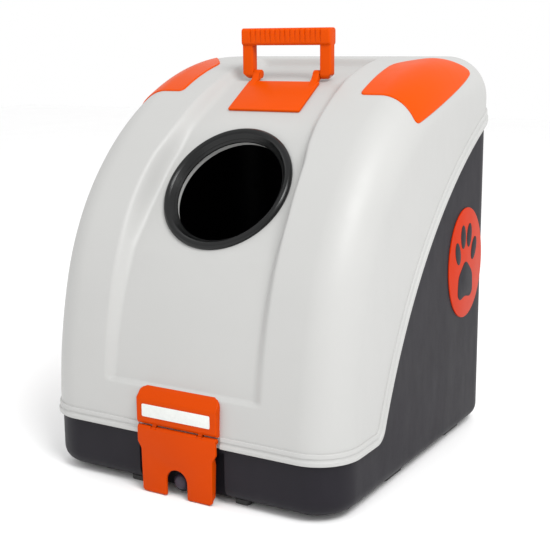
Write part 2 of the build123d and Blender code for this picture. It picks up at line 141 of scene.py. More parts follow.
def arc_through(start: Sequence[float], middle: Sequence[float], end: Sequence[float], count: int) -> Array:
    """Circle arc through three plane points, in even steps of angle.

    The centre c solves 2 (middle - start) . c = |middle|^2 - |start|^2 and the same for end.

    Args:
        start: first point.
        middle: a point on the way.
        end: last point.
        count: points on the arc.

    Returns:
        The arc's points.
    """
    a, b, c = (np.asarray(p, float) for p in (start, middle, end))
    centre = np.linalg.solve(2 * np.stack([b - a, c - a]), np.array([b @ b - a @ a, c @ c - a @ a]))
    angles = np.unwrap([math.atan2(*(p - centre)[::-1]) for p in (a, b, c)])
    turn = np.linspace(angles[0], angles[2], count)
    return centre + np.linalg.norm(a - centre) * np.stack([np.cos(turn), np.sin(turn)], -1)


def conic(start: Array, corner: Array, end: Array, weight: Array, count: int) -> Array:
    """Curve that rounds a corner: ((1-t)^2 a + 2 w t (1-t) b + t^2 c) over the same sum without a, b and c.

    With the cosine of half the turn as its weight w it is an arc of a circle.

    Args:
        start: where it leaves the first side, a.
        corner: the corner, b.
        end: where it joins the second side, c.
        weight: pull towards the corner, w.
        count: points on the curve.

    Returns:
        The curve's points.
    """
    t = np.linspace(0.0, 1.0, count)[:, None]
    a, b, c = (1 - t) ** 2, 2 * weight * t * (1 - t), t ** 2
    return (a * start + b * corner + c * end) / (a + b + c)


def join_rounded(before: Array, after: Array, radius: float, count: int = 11) -> Array:
    """Two plane curves that meet at a corner, joined by an arc.

    Args:
        before: curve that ends at the corner.
        after: curve that starts there.
        radius: radius of the arc, which reaches radius * tan(turn / 2) along each curve.
        count: points on the arc.

    Returns:
        The joined curve.
    """
    lead, leave = unit(before[-1] - before[-2]), unit(after[1] - after[0])
    half_turn = 0.5 * math.acos(np.clip(lead @ leave, -1, 1))
    reach = radius * math.tan(half_turn)
    before_at, after_at = path_length(before), path_length(after)
    stop = resampled(before, np.array([before_at[-1] - reach]))
    go = resampled(after, np.array([reach]))
    arc = conic(stop, before[-1][None], go, math.cos(half_turn), count)
    return np.vstack([before[before_at < before_at[-1] - reach - 1e-6], arc, after[after_at > reach + 1e-6]])


def rounded_polygon(points: Sequence[Sequence[float]], radii: Sequence[float], count: int = 6) -> Array:
    """Closed plane outline with an arc in place of each corner.

    Args:
        points: corners in order.
        radii: radius at each corner.
        count: points on each arc.

    Returns:
        The outline's points, with no repeat of the first.
    """
    corner = np.asarray(points, float)
    lead = unit(corner - np.roll(corner, 1, 0))
    leave = unit(np.roll(corner, -1, 0) - corner)
    half_turn = 0.5 * np.arccos(np.clip((lead * leave).sum(-1), -1, 1))[:, None]
    reach = np.maximum(np.asarray(radii, float), SHARPEST)[:, None] * np.tan(half_turn)
    rounded = conic((corner - lead * reach)[:, None], corner[:, None], (corner + leave * reach)[:, None],
                    np.cos(half_turn)[:, None], count)
    return rounded.reshape(-1, 2)


def outline_normals(outline: Array) -> Array:
    """Outward normals of a closed plane outline, square to the mean of the two sides at each point.

    Args:
        outline: points in order, either way round.

    Returns:
        One unit vector for each point.
    """
    ahead, behind = np.roll(outline, -1, 0), np.roll(outline, 1, 0)
    area = (outline[:, 0] * ahead[:, 1] - ahead[:, 0] * outline[:, 1]).sum()
    lead, leave = unit(outline - behind), unit(ahead - outline)
    tangent = unit(lead + leave)
    return np.stack([tangent[:, 1], -tangent[:, 0]], -1) * np.sign(area)


def rounded_rectangles(half_u: Array, half_v: Array, radius: Array, count: int = 7) -> Array:
    """Rounded rectangles about the origin, one for each row of sizes.

    A corner's points are (half - r) * its signs + r (cos a, sin a), with a over its quarter turn.

    Args:
        half_u: half of each width.
        half_v: half of each height.
        radius: radius of the corners.
        count: points on each corner.

    Returns:
        Rings of 4 * count points.
    """
    quarter = np.linspace(0.0, QUARTER, count)
    turn = np.concatenate([quarter + k * QUARTER for k in range(4)])
    sides = np.repeat(np.array([[1, 1], [-1, 1], [-1, -1], [1, -1]]), count, axis=0)
    sizes = np.stack(np.broadcast_arrays(half_u, half_v), -1)[:, None]
    r = np.broadcast_to(radius, np.shape(sizes)[:1])[:, None, None]
    return (sizes - r) * sides + r * np.stack([np.cos(turn), np.sin(turn)], -1)


@dataclass
class Surface:
    """Mesh in the making: points in millimetres and faces as lists of point numbers."""

    points: Array
    faces: list = field(default_factory=list)

    @classmethod
    def grid(cls, points: Array, close_rows: bool = False, close_cols: bool = False,
             keep: Optional[Array] = None, cap_ends: bool = False) -> "Surface":
        """Surface over a grid of points.

        Args:
            points: array of rows by columns by three.
            close_rows: the last row joins the first.
            close_cols: the last column joins the first.
            keep: for each cell, whether it is made.
            cap_ends: the first and last row each get one face across them.

        Returns:
            The surface.
        """
        rows, cols = points.shape[:2]
        number = np.arange(rows * cols).reshape(rows, cols)
        if close_rows:
            number = np.vstack([number, number[:1]])
        if close_cols:
            number = np.hstack([number, number[:, :1]])
        cells = np.stack([number[:-1, :-1], number[:-1, 1:], number[1:, 1:], number[1:, :-1]], -1)
        cells = cells.reshape(-1, 4) if keep is None else cells[keep]
        faces = cells.tolist()
        if cap_ends:
            faces += [number[0, :cols][::-1].tolist(), number[-1, :cols].tolist()]
        return cls(points.reshape(-1, 3), faces)

    def __add__(self, other: "Surface") -> "Surface":
        """Both surfaces as one."""
        shift = len(self.points)
        return Surface(np.vstack([self.points, other.points]),
                       self.faces + [[i + shift for i in face] for face in other.faces])

    def mirrored(self) -> "Surface":
        """The surface's mirror image about X = 0, still facing outwards."""
        return Surface(self.points * (-1, 1, 1), [face[::-1] for face in self.faces])


def revolved(profile: Array, centre: Array, radial: Array, side: Array, axis: Array,
             count: int = 144) -> Surface:
    """Closed profile of (radius, height) turned once round an axis.

    Args:
        profile: closed outline as (radius, height) rows.
        centre: foot of the axis.
        radial: direction at angle nought.
        side: direction at a quarter turn.
        axis: direction of height.
        count: steps round the axis.

    Returns:
        The surface.
    """
    turn = np.linspace(0.0, FULL, count, endpoint=False)[:, None, None]
    out = np.cos(turn) * radial + np.sin(turn) * side
    return Surface.grid(centre + profile[None, :, :1] * out + profile[None, :, 1:] * axis, True, True)


def slab(outline: Array, low: float, high: float, bevel: float, origin: Sequence[float],
         axes: Sequence[Sequence[float]], steps: int = 4) -> Surface:
    """Plate of a plane outline with rounded edges.

    Ring k lies at height low + bevel (1 - cos a) and is drawn in by bevel (1 - sin a), with a from 0 to a
    quarter turn, and the same upside down at the top.

    Args:
        outline: closed outline as (u, v) rows.
        low: lower height.
        high: upper height.
        bevel: radius of the edges.
        origin: place of (0, 0, 0).
        axes: directions of u, v and height.
        steps: rings on each edge.

    Returns:
        The surface, with one face on each side.
    """
    angle = np.linspace(0.0, QUARTER, steps)
    inset = bevel * (1 - np.sin(angle))
    rise = bevel * (1 - np.cos(angle))
    inset = np.concatenate([inset, inset[::-1]])[:, None, None]
    height = np.concatenate([low + rise, high - rise[::-1]])[:, None, None]
    rings = outline[None] - outline_normals(outline)[None] * inset
    u, v, w = (np.asarray(axis, float) for axis in axes)
    points = np.asarray(origin, float) + rings[..., :1] * u + rings[..., 1:] * v + height * w
    return Surface.grid(points, close_cols=True, cap_ends=True)


def row_frame(points: Array) -> Array:
    """Points in millimetres about the tub's middle, moved to the model's frame in metres."""
    return (points + ROW_SHIFT) / 1000.0


def joint_place(name: str) -> Array:
    """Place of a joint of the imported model, in millimetres."""
    return 1000.0 * np.array(next(j for j in frame["joints"] if j["name"] == name)["pos_m"])


HINGE_AT = (0.0, 245.0, 428.0)
ROW_SHIFT = joint_place("hood_hinge") - HINGE_AT


# ---------------------------------------------------------------- finishes

class Gloss(Enum):
    """How shiny a moulding is, as its mean roughness."""

    POLISHED = 0.22
    SATIN = 0.34
    EGGSHELL = 0.45
    TEXTURED = 0.52


class Shader:
    """Node tree of one material, with the few nodes that the finishes share."""

    def __init__(self, name: str) -> None:
        """Start a material with an empty tree, a principled shader and object coordinates.

        Args:
            name: the material's name.
        """
        self.material = bpy.data.materials.new(name)
        self.material.use_nodes = True
        self.tree = self.material.node_tree
        self.tree.nodes.clear()
        self.output = self.node("ShaderNodeOutputMaterial")
        self.surface = self.node("ShaderNodeBsdfPrincipled")
        self.place = self.node("ShaderNodeTexCoord").outputs["Object"]
        self.link(self.surface.outputs["BSDF"], self.output.inputs["Surface"])

    def node(self, kind: str, **settings: object) -> bpy.types.Node:
        """A new node with its properties set.

        Args:
            kind: the node's type.
            settings: properties and their values.

        Returns:
            The node.
        """
        made = self.tree.nodes.new(kind)
        for key, value in settings.items():
            setattr(made, key, value)
        return made

    def link(self, source: bpy.types.NodeSocket, target: bpy.types.NodeSocket) -> None:
        """Join two sockets."""
        self.tree.links.new(source, target)

    def set(self, **values: object) -> None:
        """Set sockets of the shader by name, with _ for a space."""
        for key, value in values.items():
            self.surface.inputs[key.replace("_", " ")].default_value = value

    def stretched(self, scale: Sequence[float]) -> bpy.types.NodeSocket:
        """Object coordinates scaled by axis.

        Args:
            scale: factor along X, Y and Z.

        Returns:
            The scaled coordinates.
        """
        mapping = self.node("ShaderNodeMapping")
        mapping.inputs["Scale"].default_value = scale
        self.link(self.place, mapping.inputs["Vector"])
        return mapping.outputs["Vector"]

    def noise(self, size: float, detail: float = 3.0, roughness: float = 0.5,
              place: Optional[bpy.types.NodeSocket] = None) -> bpy.types.NodeSocket:
        """Noise over object coordinates.

        Args:
            size: about how wide its lumps are, in metres.
            detail: octaves of finer noise.
            roughness: strength of each octave against the one before.
            place: coordinates that it reads instead of the plain ones.

        Returns:
            The noise, near a half.
        """
        made = self.node("ShaderNodeTexNoise")
        made.inputs["Scale"].default_value = 1.0 / size
        made.inputs["Detail"].default_value = detail
        made.inputs["Roughness"].default_value = roughness
        self.link(place or self.place, made.inputs["Vector"])
        return made.outputs["Fac"]

    def spread(self, source: bpy.types.NodeSocket, low: float, high: float,
               start: float = 0.3, stop: float = 0.7) -> bpy.types.NodeSocket:
        """A value carried from one range to another, and held there.

        Args:
            source: the value.
            low: what it becomes at start.
            high: what it becomes at stop.
            start: low end of its own range.
            stop: high end of its own range.

        Returns:
            The new value.
        """
        made = self.node("ShaderNodeMapRange")
        for key, value in zip(("From Min", "From Max", "To Min", "To Max"), (start, stop, low, high)):
            made.inputs[key].default_value = value
        self.link(source, made.inputs["Value"])
        return made.outputs["Result"]

    def mix(self, share: bpy.types.NodeSocket, first: object, second: object) -> bpy.types.NodeSocket:
        """A colour between two others.

        Args:
            share: how much of the second.
            first: a colour or a socket.
            second: a colour or a socket.

        Returns:
            The colour between them.
        """
        made = self.node("ShaderNodeMix", data_type="RGBA")
        self.link(share, made.inputs[0])
        for socket, value in ((made.inputs[6], first), (made.inputs[7], second)):
            if isinstance(value, bpy.types.NodeSocket):
                self.link(value, socket)
            else:
                socket.default_value = (*value, 1.0)
        return made.outputs[2]

    def bump(self, height: bpy.types.NodeSocket, strength: float, distance: float,
             under: Optional[bpy.types.NodeSocket] = None) -> bpy.types.NodeSocket:
        """A normal raised by a height.

        Args:
            height: the height.
            strength: how far the normal follows it, up to one.
            distance: size of the relief in metres.
            under: another relief that it lies on.

        Returns:
            The normal.
        """
        made = self.node("ShaderNodeBump")
        made.inputs["Strength"].default_value = strength
        made.inputs["Distance"].default_value = distance
        self.link(height, made.inputs["Height"])
        if under is not None:
            self.link(under, made.inputs["Normal"])
        return made.outputs["Normal"]

    def maths(self, kind: str, first: object, second: object) -> bpy.types.NodeSocket:
        """Result of a maths node.

        Args:
            kind: the operation.
            first: a number or a socket.
            second: a number or a socket.

        Returns:
            The result.
        """
        made = self.node("ShaderNodeMath", operation=kind)
        for socket, value in zip(made.inputs, (first, second)):
            if isinstance(value, bpy.types.NodeSocket):
                self.link(value, socket)
            else:
                socket.default_value = value
        return made.outputs[0]


@dataclass(frozen=True)
class Finish:
    """A finish that makes its material once and lends it to every piece."""

    name: str
    colour: tuple[float, float, float]

    def material(self) -> bpy.types.Material:
        """The finish's material, made on first use."""
        return bpy.data.materials.get(self.name) or self.build()

    def build(self) -> bpy.types.Material:
        """Make the material."""
        raise NotImplementedError

    def tint(self, factor: float, lift: float = 0.0) -> tuple[float, float, float]:
        """The finish's colour, darker or lighter."""
        return tuple(min(1.0, max(0.0, c * factor + lift)) for c in self.colour)


@dataclass(frozen=True)
class MouldedPlastic(Finish):
    """Injection-moulded plastic: fine spark grain, slow flow marks, faint rubbed streaks.

    Sizes are in metres. Grain is the spark grain's pitch, shade the slow change of colour, flow the marks
    that run up the piece, speck the darker points and rub the streaks that hands leave.
    """

    gloss: Gloss = Gloss.SATIN
    grain: float = 0.0008
    grain_depth: float = 0.00003
    variation: float = 0.03
    shine: float = 0.06
    shade: float = 0.09
    flow: float = 0.02
    flow_depth: float = 0.0006
    speck: float = 0.0016
    rub: float = 0.006

    def build(self) -> bpy.types.Material:
        """Make the material."""
        shader = Shader(self.name)
        slow = shader.noise(self.shade, 2.0)
        flow = shader.noise(self.flow, 4.0, 0.6, shader.stretched((1.0, 1.0, 0.35)))
        colour = shader.mix(shader.spread(slow, 0.0, 1.0), self.tint(1.0 - self.variation),
                            self.tint(1.0 + self.variation))
        speck = shader.noise(self.speck, 2.0)
        colour = shader.mix(shader.spread(speck, 0.0, 0.35, 0.62, 0.8), colour,
                            self.tint(1.0 - 2.5 * self.variation))
        shader.link(colour, shader.surface.inputs["Base Color"])
        rubbed = shader.noise(self.rub, 5.0, 0.7, shader.stretched((1.0, 3.0, 1.0)))
        mean = self.gloss.value
        roughness = shader.maths("ADD", shader.spread(flow, mean - 0.035, mean + 0.035),
                                 shader.spread(rubbed, 0.0, 0.06, 0.55, 0.75))
        shader.link(roughness, shader.surface.inputs["Roughness"])
        grain = shader.bump(shader.noise(self.grain, 2.0), 0.35, self.grain_depth)
        normal = shader.bump(flow, 0.12, self.flow_depth, grain)
        shader.link(normal, shader.surface.inputs["Normal"])
        shader.set(Specular_IOR_Level=self.shine)
        return shader.material


@dataclass(frozen=True)
class Rubber(Finish):
    """Dull rubber with a dusty bloom."""

    def build(self) -> bpy.types.Material:
        """Make the material."""
        shader = Shader(self.name)
        bloom = shader.spread(shader.noise(0.008, 5.0, 0.65), 0.0, 1.0)
        shader.link(shader.mix(bloom, self.colour, self.tint(1.6, 0.01)), shader.surface.inputs["Base Color"])
        shader.link(shader.spread(bloom, 0.75, 0.92, 0.0, 1.0), shader.surface.inputs["Roughness"])
        shader.link(shader.bump(shader.noise(0.0012, 3.0), 0.5, 0.00008), shader.surface.inputs["Normal"])
        return shader.material


@dataclass(frozen=True)
class DrawnSteel(Finish):
    """Bright steel rod or wire with fine lines along X."""

    def build(self) -> bpy.types.Material:
        """Make the material."""
        shader = Shader(self.name)
        lines = shader.noise(0.0008, 3.0, 0.6, shader.stretched((0.05, 1.0, 1.0)))
        shader.link(shader.mix(lines, self.tint(0.82), self.tint(1.1)), shader.surface.inputs["Base Color"])
        shader.link(shader.spread(lines, 0.2, 0.38), shader.surface.inputs["Roughness"])
        shader.link(shader.bump(lines, 0.3, 0.00003), shader.surface.inputs["Normal"])
        shader.set(Metallic=1.0)
        return shader.material


@dataclass(frozen=True)
class PrintedFilm(Finish):
    """Stuck-on blank film, faintly fibrous."""

    def build(self) -> bpy.types.Material:
        """Make the material."""
        shader = Shader(self.name)
        fibre = shader.spread(shader.noise(0.004, 4.0), 0.0, 1.0)
        shader.link(shader.mix(fibre, self.tint(0.95), self.tint(1.02)), shader.surface.inputs["Base Color"])
        shader.link(shader.spread(shader.noise(0.003, 3.0), 0.28, 0.42), shader.surface.inputs["Roughness"])
        shader.link(shader.bump(shader.noise(0.0015, 2.0), 0.2, 0.00003), shader.surface.inputs["Normal"])
        return shader.material


@dataclass(frozen=True)
class StudioFloor(Finish):
    """Pale seamless floor with a faint mottle."""

    def build(self) -> bpy.types.Material:
        """Make the material."""
        shader = Shader(self.name)
        mottle = shader.spread(shader.noise(0.25, 3.0), 0.0, 1.0)
        shader.link(shader.mix(mottle, self.tint(0.985), self.tint(1.0)), shader.surface.inputs["Base Color"])
        shader.link(shader.spread(shader.noise(0.002, 2.0), 0.6, 0.75), shader.surface.inputs["Roughness"])
        return shader.material


HOOD_WHITE = MouldedPlastic("hood_white", (0.425, 0.425, 0.416), Gloss.EGGSHELL, grain=0.0011,
                            grain_depth=0.00005, variation=0.012, shine=0.4)
TUB_GREY = MouldedPlastic("tub_anthracite", (0.0105, 0.0092, 0.0130), Gloss.TEXTURED, grain=0.0010,
                          grain_depth=0.00009, variation=0.08, shine=0.17)
ORANGE = MouldedPlastic("orange_moulding", (0.60, 0.062, 0.0))
LATCH_ORANGE = MouldedPlastic("orange_latch", (0.51, 0.048, 0.0))
BADGE_ORANGE = MouldedPlastic("orange_badge", (0.47, 0.024, 0.0))
RING_BLACK = MouldedPlastic("ring_black", (0.004, 0.0043, 0.0045), Gloss.POLISHED, variation=0.08, shine=0.3)
BUTTON_GREY = MouldedPlastic("button_grey", (0.030, 0.022, 0.036), variation=0.08, shine=0.3)
FOOT_RUBBER = Rubber("foot_rubber_black", (0.02, 0.02, 0.02))
LABEL_FILM = PrintedFilm("label_film_white", (0.66, 0.68, 0.66))
STEEL = DrawnSteel("drawn_steel", (0.62, 0.62, 0.64))
FLOOR_PALE = StudioFloor("studio_floor", (0.985, 0.985, 0.985))


def make_piece(name: str, surface: Surface, finish: Finish, body: str,
               stands_for: Sequence[str] = (), crease: float = 32.0, wall: float = 0.0) -> bpy.types.Object:
    """Turn a surface into a piece of the model.

    Args:
        name: the piece's name.
        surface: its shape, in millimetres about the tub's middle.
        finish: what it is made of.
        body: the CAD body that it rides on.
        stands_for: CAD nodes that it replaces.
        crease: edges sharper than this many degrees stay sharp.
        wall: thickness in millimetres given to an open surface, inwards.

    Returns:
        The new object.
    """
    mesh = bpy.data.meshes.new(name)
    mesh.from_pydata(row_frame(surface.points).tolist(), [], surface.faces)
    work = bmesh.new()
    work.from_mesh(mesh)
    bmesh.ops.remove_doubles(work, verts=work.verts, dist=MERGE)
    bmesh.ops.recalc_face_normals(work, faces=work.faces)
    work.to_mesh(mesh)
    work.free()
    mesh.shade_smooth()
    mesh.set_sharp_from_angle(angle=math.radians(crease))
    mesh.materials.append(finish.material())
    piece = bpy.data.objects.new(name, mesh)
    bpy.context.scene.collection.objects.link(piece)
    if wall:
        thick = piece.modifiers.new("wall", "SOLIDIFY")
        thick.thickness = wall / 1000.0
        thick.offset = -1.0
    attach(piece, body)
    if stands_for:
        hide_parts(*stands_for)
    LOG.info("%s: %d points, %d faces, on %s", name, len(mesh.vertices), len(mesh.polygons), body)
    return piece


def dress_node(name: str, finish: Finish) -> None:
    """Give a CAD node that stays in sight its finish.

    Args:
        name: the node.
        finish: what it is made of.
    """
    node = frame["nodes"][name]
    node.data.materials.clear()
    node.data.materials.append(finish.material())
    LOG.info("%s: keeps its CAD shape, in %s", name, finish.name)


# ---------------------------------------------------------------- the box's form

@dataclass(frozen=True)
class BoxForm:
    """Outside of the closed box: a side outline rolled over at the sides, and the split between its halves.

    Each of the front's arcs is a radius and a turn in degrees. The split's three points are (y, z).
    """

    half_width: float = 210.0
    front_y: float = -234.0
    back_y: float = 235.0
    top_z: float = 500.0
    underside_z: float = -4.0
    arc_start_z: float = 64.0
    front_arcs: tuple[tuple[float, float], ...] = ((640.0, 15.4), (350.0, 24.8))
    shoulder: float = 52.0
    back_round: float = 55.0
    wall: float = 3.0
    split_z: float = 62.0
    split_knee: tuple[float, float] = (-123.5, 62.0)
    split_middle: tuple[float, float] = (16.0, 283.0)
    split_heel: tuple[float, float] = (209.0, 418.0)
    knee_round: float = 22.0
    heel_round: float = 50.0

    def outline(self) -> ArcChain:
        """Side outline in (y, z): up the front, over the crown and down the back.

        The front is upright, then bends by its arcs. A last arc turns what is left to level, with the radius
        that ends at the top: (top - its start) / (1 - cos turn).
        """
        up = self.arc_start_z - self.underside_z
        runs = [(up, 0.0)] + [(radius * math.radians(turn), -turn) for radius, turn in self.front_arcs]
        lead = ArcChain((self.front_y, self.underside_z), 90.0, tuple(runs))
        point, _ = lead.at(np.array([lead.length]))
        turn = 90.0 - sum(turn for _, turn in self.front_arcs)
        radius = (self.top_z - point[0, 1]) / (1 - math.cos(math.radians(turn)))
        runs.append((radius * math.radians(turn), -turn))
        crown_end = point[0, 0] + radius * math.sin(math.radians(turn))
        runs += [(self.back_y - self.back_round - crown_end, 0.0),
                 (self.back_round * QUARTER, -90.0),
                 (self.top_z - self.back_round - self.underside_z, 0.0)]
        return ArcChain(lead.start, 90.0, tuple(runs))

    def plan(self) -> ArcChain:
        """Plan outline as a closed chain in (x, y), from the middle of the front, to the right and round."""
        r, across = self.shoulder, self.half_width - self.shoulder
        deep = self.back_y - self.front_y - 2 * r
        bend = (r * QUARTER, 90.0)
        return ArcChain((0.0, self.front_y), 0.0, ((across, 0.0), bend, (deep, 0.0), bend, (2 * across, 0.0),
                                                  bend, (deep, 0.0), bend, (across, 0.0)))

    def split(self) -> Array:
        """Split line as (y, z) points: level in front, up the cheek, and level at the back."""
        level = np.array([[self.front_y - 60.0, self.split_z], self.split_knee])
        rise = arc_through(self.split_knee, self.split_middle, self.split_heel, 240)
        back = np.array([self.split_heel, [self.back_y + 60.0, self.split_heel[1]]])
        return join_rounded(join_rounded(level, rise, self.knee_round), back, self.heel_round)

    def split_height(self, y: Array, above: float = 0.0) -> Array:
        """Height of the split line, moved square to itself.

        Args:
            y: depths at which it is wanted.
            above: how far it is moved up.

        Returns:
            Heights of the same shape as y.
        """
        curve = self.split()
        tangent = unit(np.gradient(curve, axis=0))
        moved = curve + above * np.stack([-tangent[:, 1], tangent[:, 0]], -1)
        return np.interp(y, moved[:, 0], moved[:, 1])

    def skin(self, stations: Array, across: Array, lift: Array = 0.0) -> Array:
        """Points on the outside, over the crown and the rolled shoulders.

        With n the outline's normal and a = (|across| - flat) / shoulder held between 0 and a quarter turn,
        the point is the outline's own, moved sideways by min(|across|, flat) + shoulder sin a and inwards
        along n by shoulder (1 - cos a). Lift moves it out along the surface's normal.

        Args:
            stations: lengths along the side outline.
            across: lengths from the middle, sideways over the skin.
            lift: height above the skin.

        Returns:
            Points with a last axis of three.
        """
        stations, across, lift = np.broadcast_arrays(stations, across, lift)
        point, heading = self.outline().at(stations)
        flat = self.half_width - self.shoulder
        angle = np.clip((np.abs(across) - flat) / self.shoulder, 0.0, QUARTER)
        side = np.sign(across)
        normal = np.stack([-np.sin(heading), np.cos(heading)], -1)
        out = np.concatenate([(side * np.sin(angle))[..., None], np.cos(angle)[..., None] * normal], -1)
        inset = (self.shoulder * (1 - np.cos(angle)))[..., None]
        x = side * (np.minimum(np.abs(across), flat) + self.shoulder * np.sin(angle))
        middle = point - normal * inset
        return np.concatenate([x[..., None], middle], -1) + out * lift[..., None]


FORM = BoxForm()


# ---------------------------------------------------------------- hood

@dataclass(frozen=True)
class Channel:
    """Soft-sided channel down the hood's front, with flats for the entry ring and the handle plate.

    Slopes are in degrees. The floor is rounded by bend_rounds at the foot of the ring's flat, between the
    flats and at the head of the plate's. Width is half the channel's, at depths along the crown.
    """

    foot_z: float = 118.0
    foot_ramp: float = 7.0
    end_y: float = 100.0
    end_ramp: float = 9.0
    wall_run: float = 17.0
    ring_slope: float = 51.0
    ring_centre: tuple[float, float] = (-122.0, 348.0)
    seat_reach: tuple[float, float] = (-90.0, 88.0)
    plate_slope: float = 32.0
    plate_reach: float = 100.0
    floor_start: tuple[float, float] = (-227.0, 112.0)
    floor_middle: tuple[float, float] = (-213.5, 190.0)
    floor_end: tuple[float, float] = (100.0, 487.0)
    bend_rounds: tuple[float, float, float] = (70.0, 90.0, 60.0)
    overrun: float = 0.4
    width_at: tuple[tuple[float, float], ...] = (
        (-230.0, 114.0), (-170.0, 114.0), (-143.0, 111.8), (-124.0, 109.9), (-104.0, 104.5), (-76.0, 100.5),
        (0.0, 96.0), (100.0, 93.0))

    def along(self, start: Sequence[float], slope: float, reach: float) -> Array:
        """Point at a reach from start, along a slope in degrees."""
        turn = math.radians(slope)
        return np.asarray(start, float) + reach * np.array([math.cos(turn), math.sin(turn)])

    @property
    def seat_high(self) -> Array:
        """Upper end of the flat that the ring sits on."""
        return self.along(self.ring_centre, self.ring_slope, self.seat_reach[1])

    def floor(self) -> Array:
        """Floor of the channel as (y, z) points: an arc, the two flats and a straight run out to the crown.

        The last run goes on past its end by a share of its length, so that every row of the skin crosses it.
        """
        foot, middle, end = self.bend_rounds
        low = self.along(self.ring_centre, self.ring_slope, self.seat_reach[0])
        high = self.along(self.seat_high, self.plate_slope, self.plate_reach)
        curve = join_rounded(arc_through(self.floor_start, self.floor_middle, low, 60),
                             np.stack([low, self.seat_high]), foot)
        curve = join_rounded(curve, np.stack([self.seat_high, high]), middle)
        beyond = np.asarray(self.floor_end) + self.overrun * (np.asarray(self.floor_end) - high)
        curve = join_rounded(curve, np.stack([high, beyond]), end)
        return resampled(curve, np.linspace(0.0, path_length(curve)[-1], 900))

    def depth(self, stations: Array) -> Array:
        """Depth of the floor below the crown, square to the crown.

        In the frame of each station's tangent and normal, the floor's points have a run t and a fall d.
        The depth is d where t crosses nought, straight between the two points on either side.

        Args:
            stations: lengths along the side outline.

        Returns:
            Depths, none below nought.
        """
        crown, heading = FORM.outline().at(stations)
        away = self.floor()[None] - crown[:, None]
        run = away[..., 0] * np.cos(heading)[:, None] + away[..., 1] * np.sin(heading)[:, None]
        fall = away[..., 0] * np.sin(heading)[:, None] - away[..., 1] * np.cos(heading)[:, None]
        after = np.clip(np.argmax(run > 0, axis=1), 1, run.shape[1] - 1)[:, None]
        r0, r1 = (np.take_along_axis(run, k, 1)[:, 0] for k in (after - 1, after))
        f0, f1 = (np.take_along_axis(fall, k, 1)[:, 0] for k in (after - 1, after))
        share = np.clip(-r0 / np.where(np.abs(r1 - r0) < TINY, 1.0, r1 - r0), 0, 1)
        return np.maximum(f0 + share * (f1 - f0), 0.0)

    def sink(self, stations: Array, across: Array) -> Array:
        """How far the skin sinks: the floor's depth, eased out at the walls, the foot and the end.

        Args:
            stations: lengths along the side outline, as a column.
            across: lengths from the middle, as a row.

        Returns:
            Depths below the skin.
        """
        crown, _ = FORM.outline().at(stations[:, 0])
        half = np.interp(crown[:, 0], *zip(*self.width_at))[:, None]
        walls = ease((half - np.abs(across)) / self.wall_run)
        foot = ease((crown[:, 1:] - self.foot_z) / self.foot_ramp)
        end = ease((self.end_y + self.end_ramp - crown[:, :1]) / self.end_ramp)
        return self.depth(stations[:, 0])[:, None] * walls * foot * end


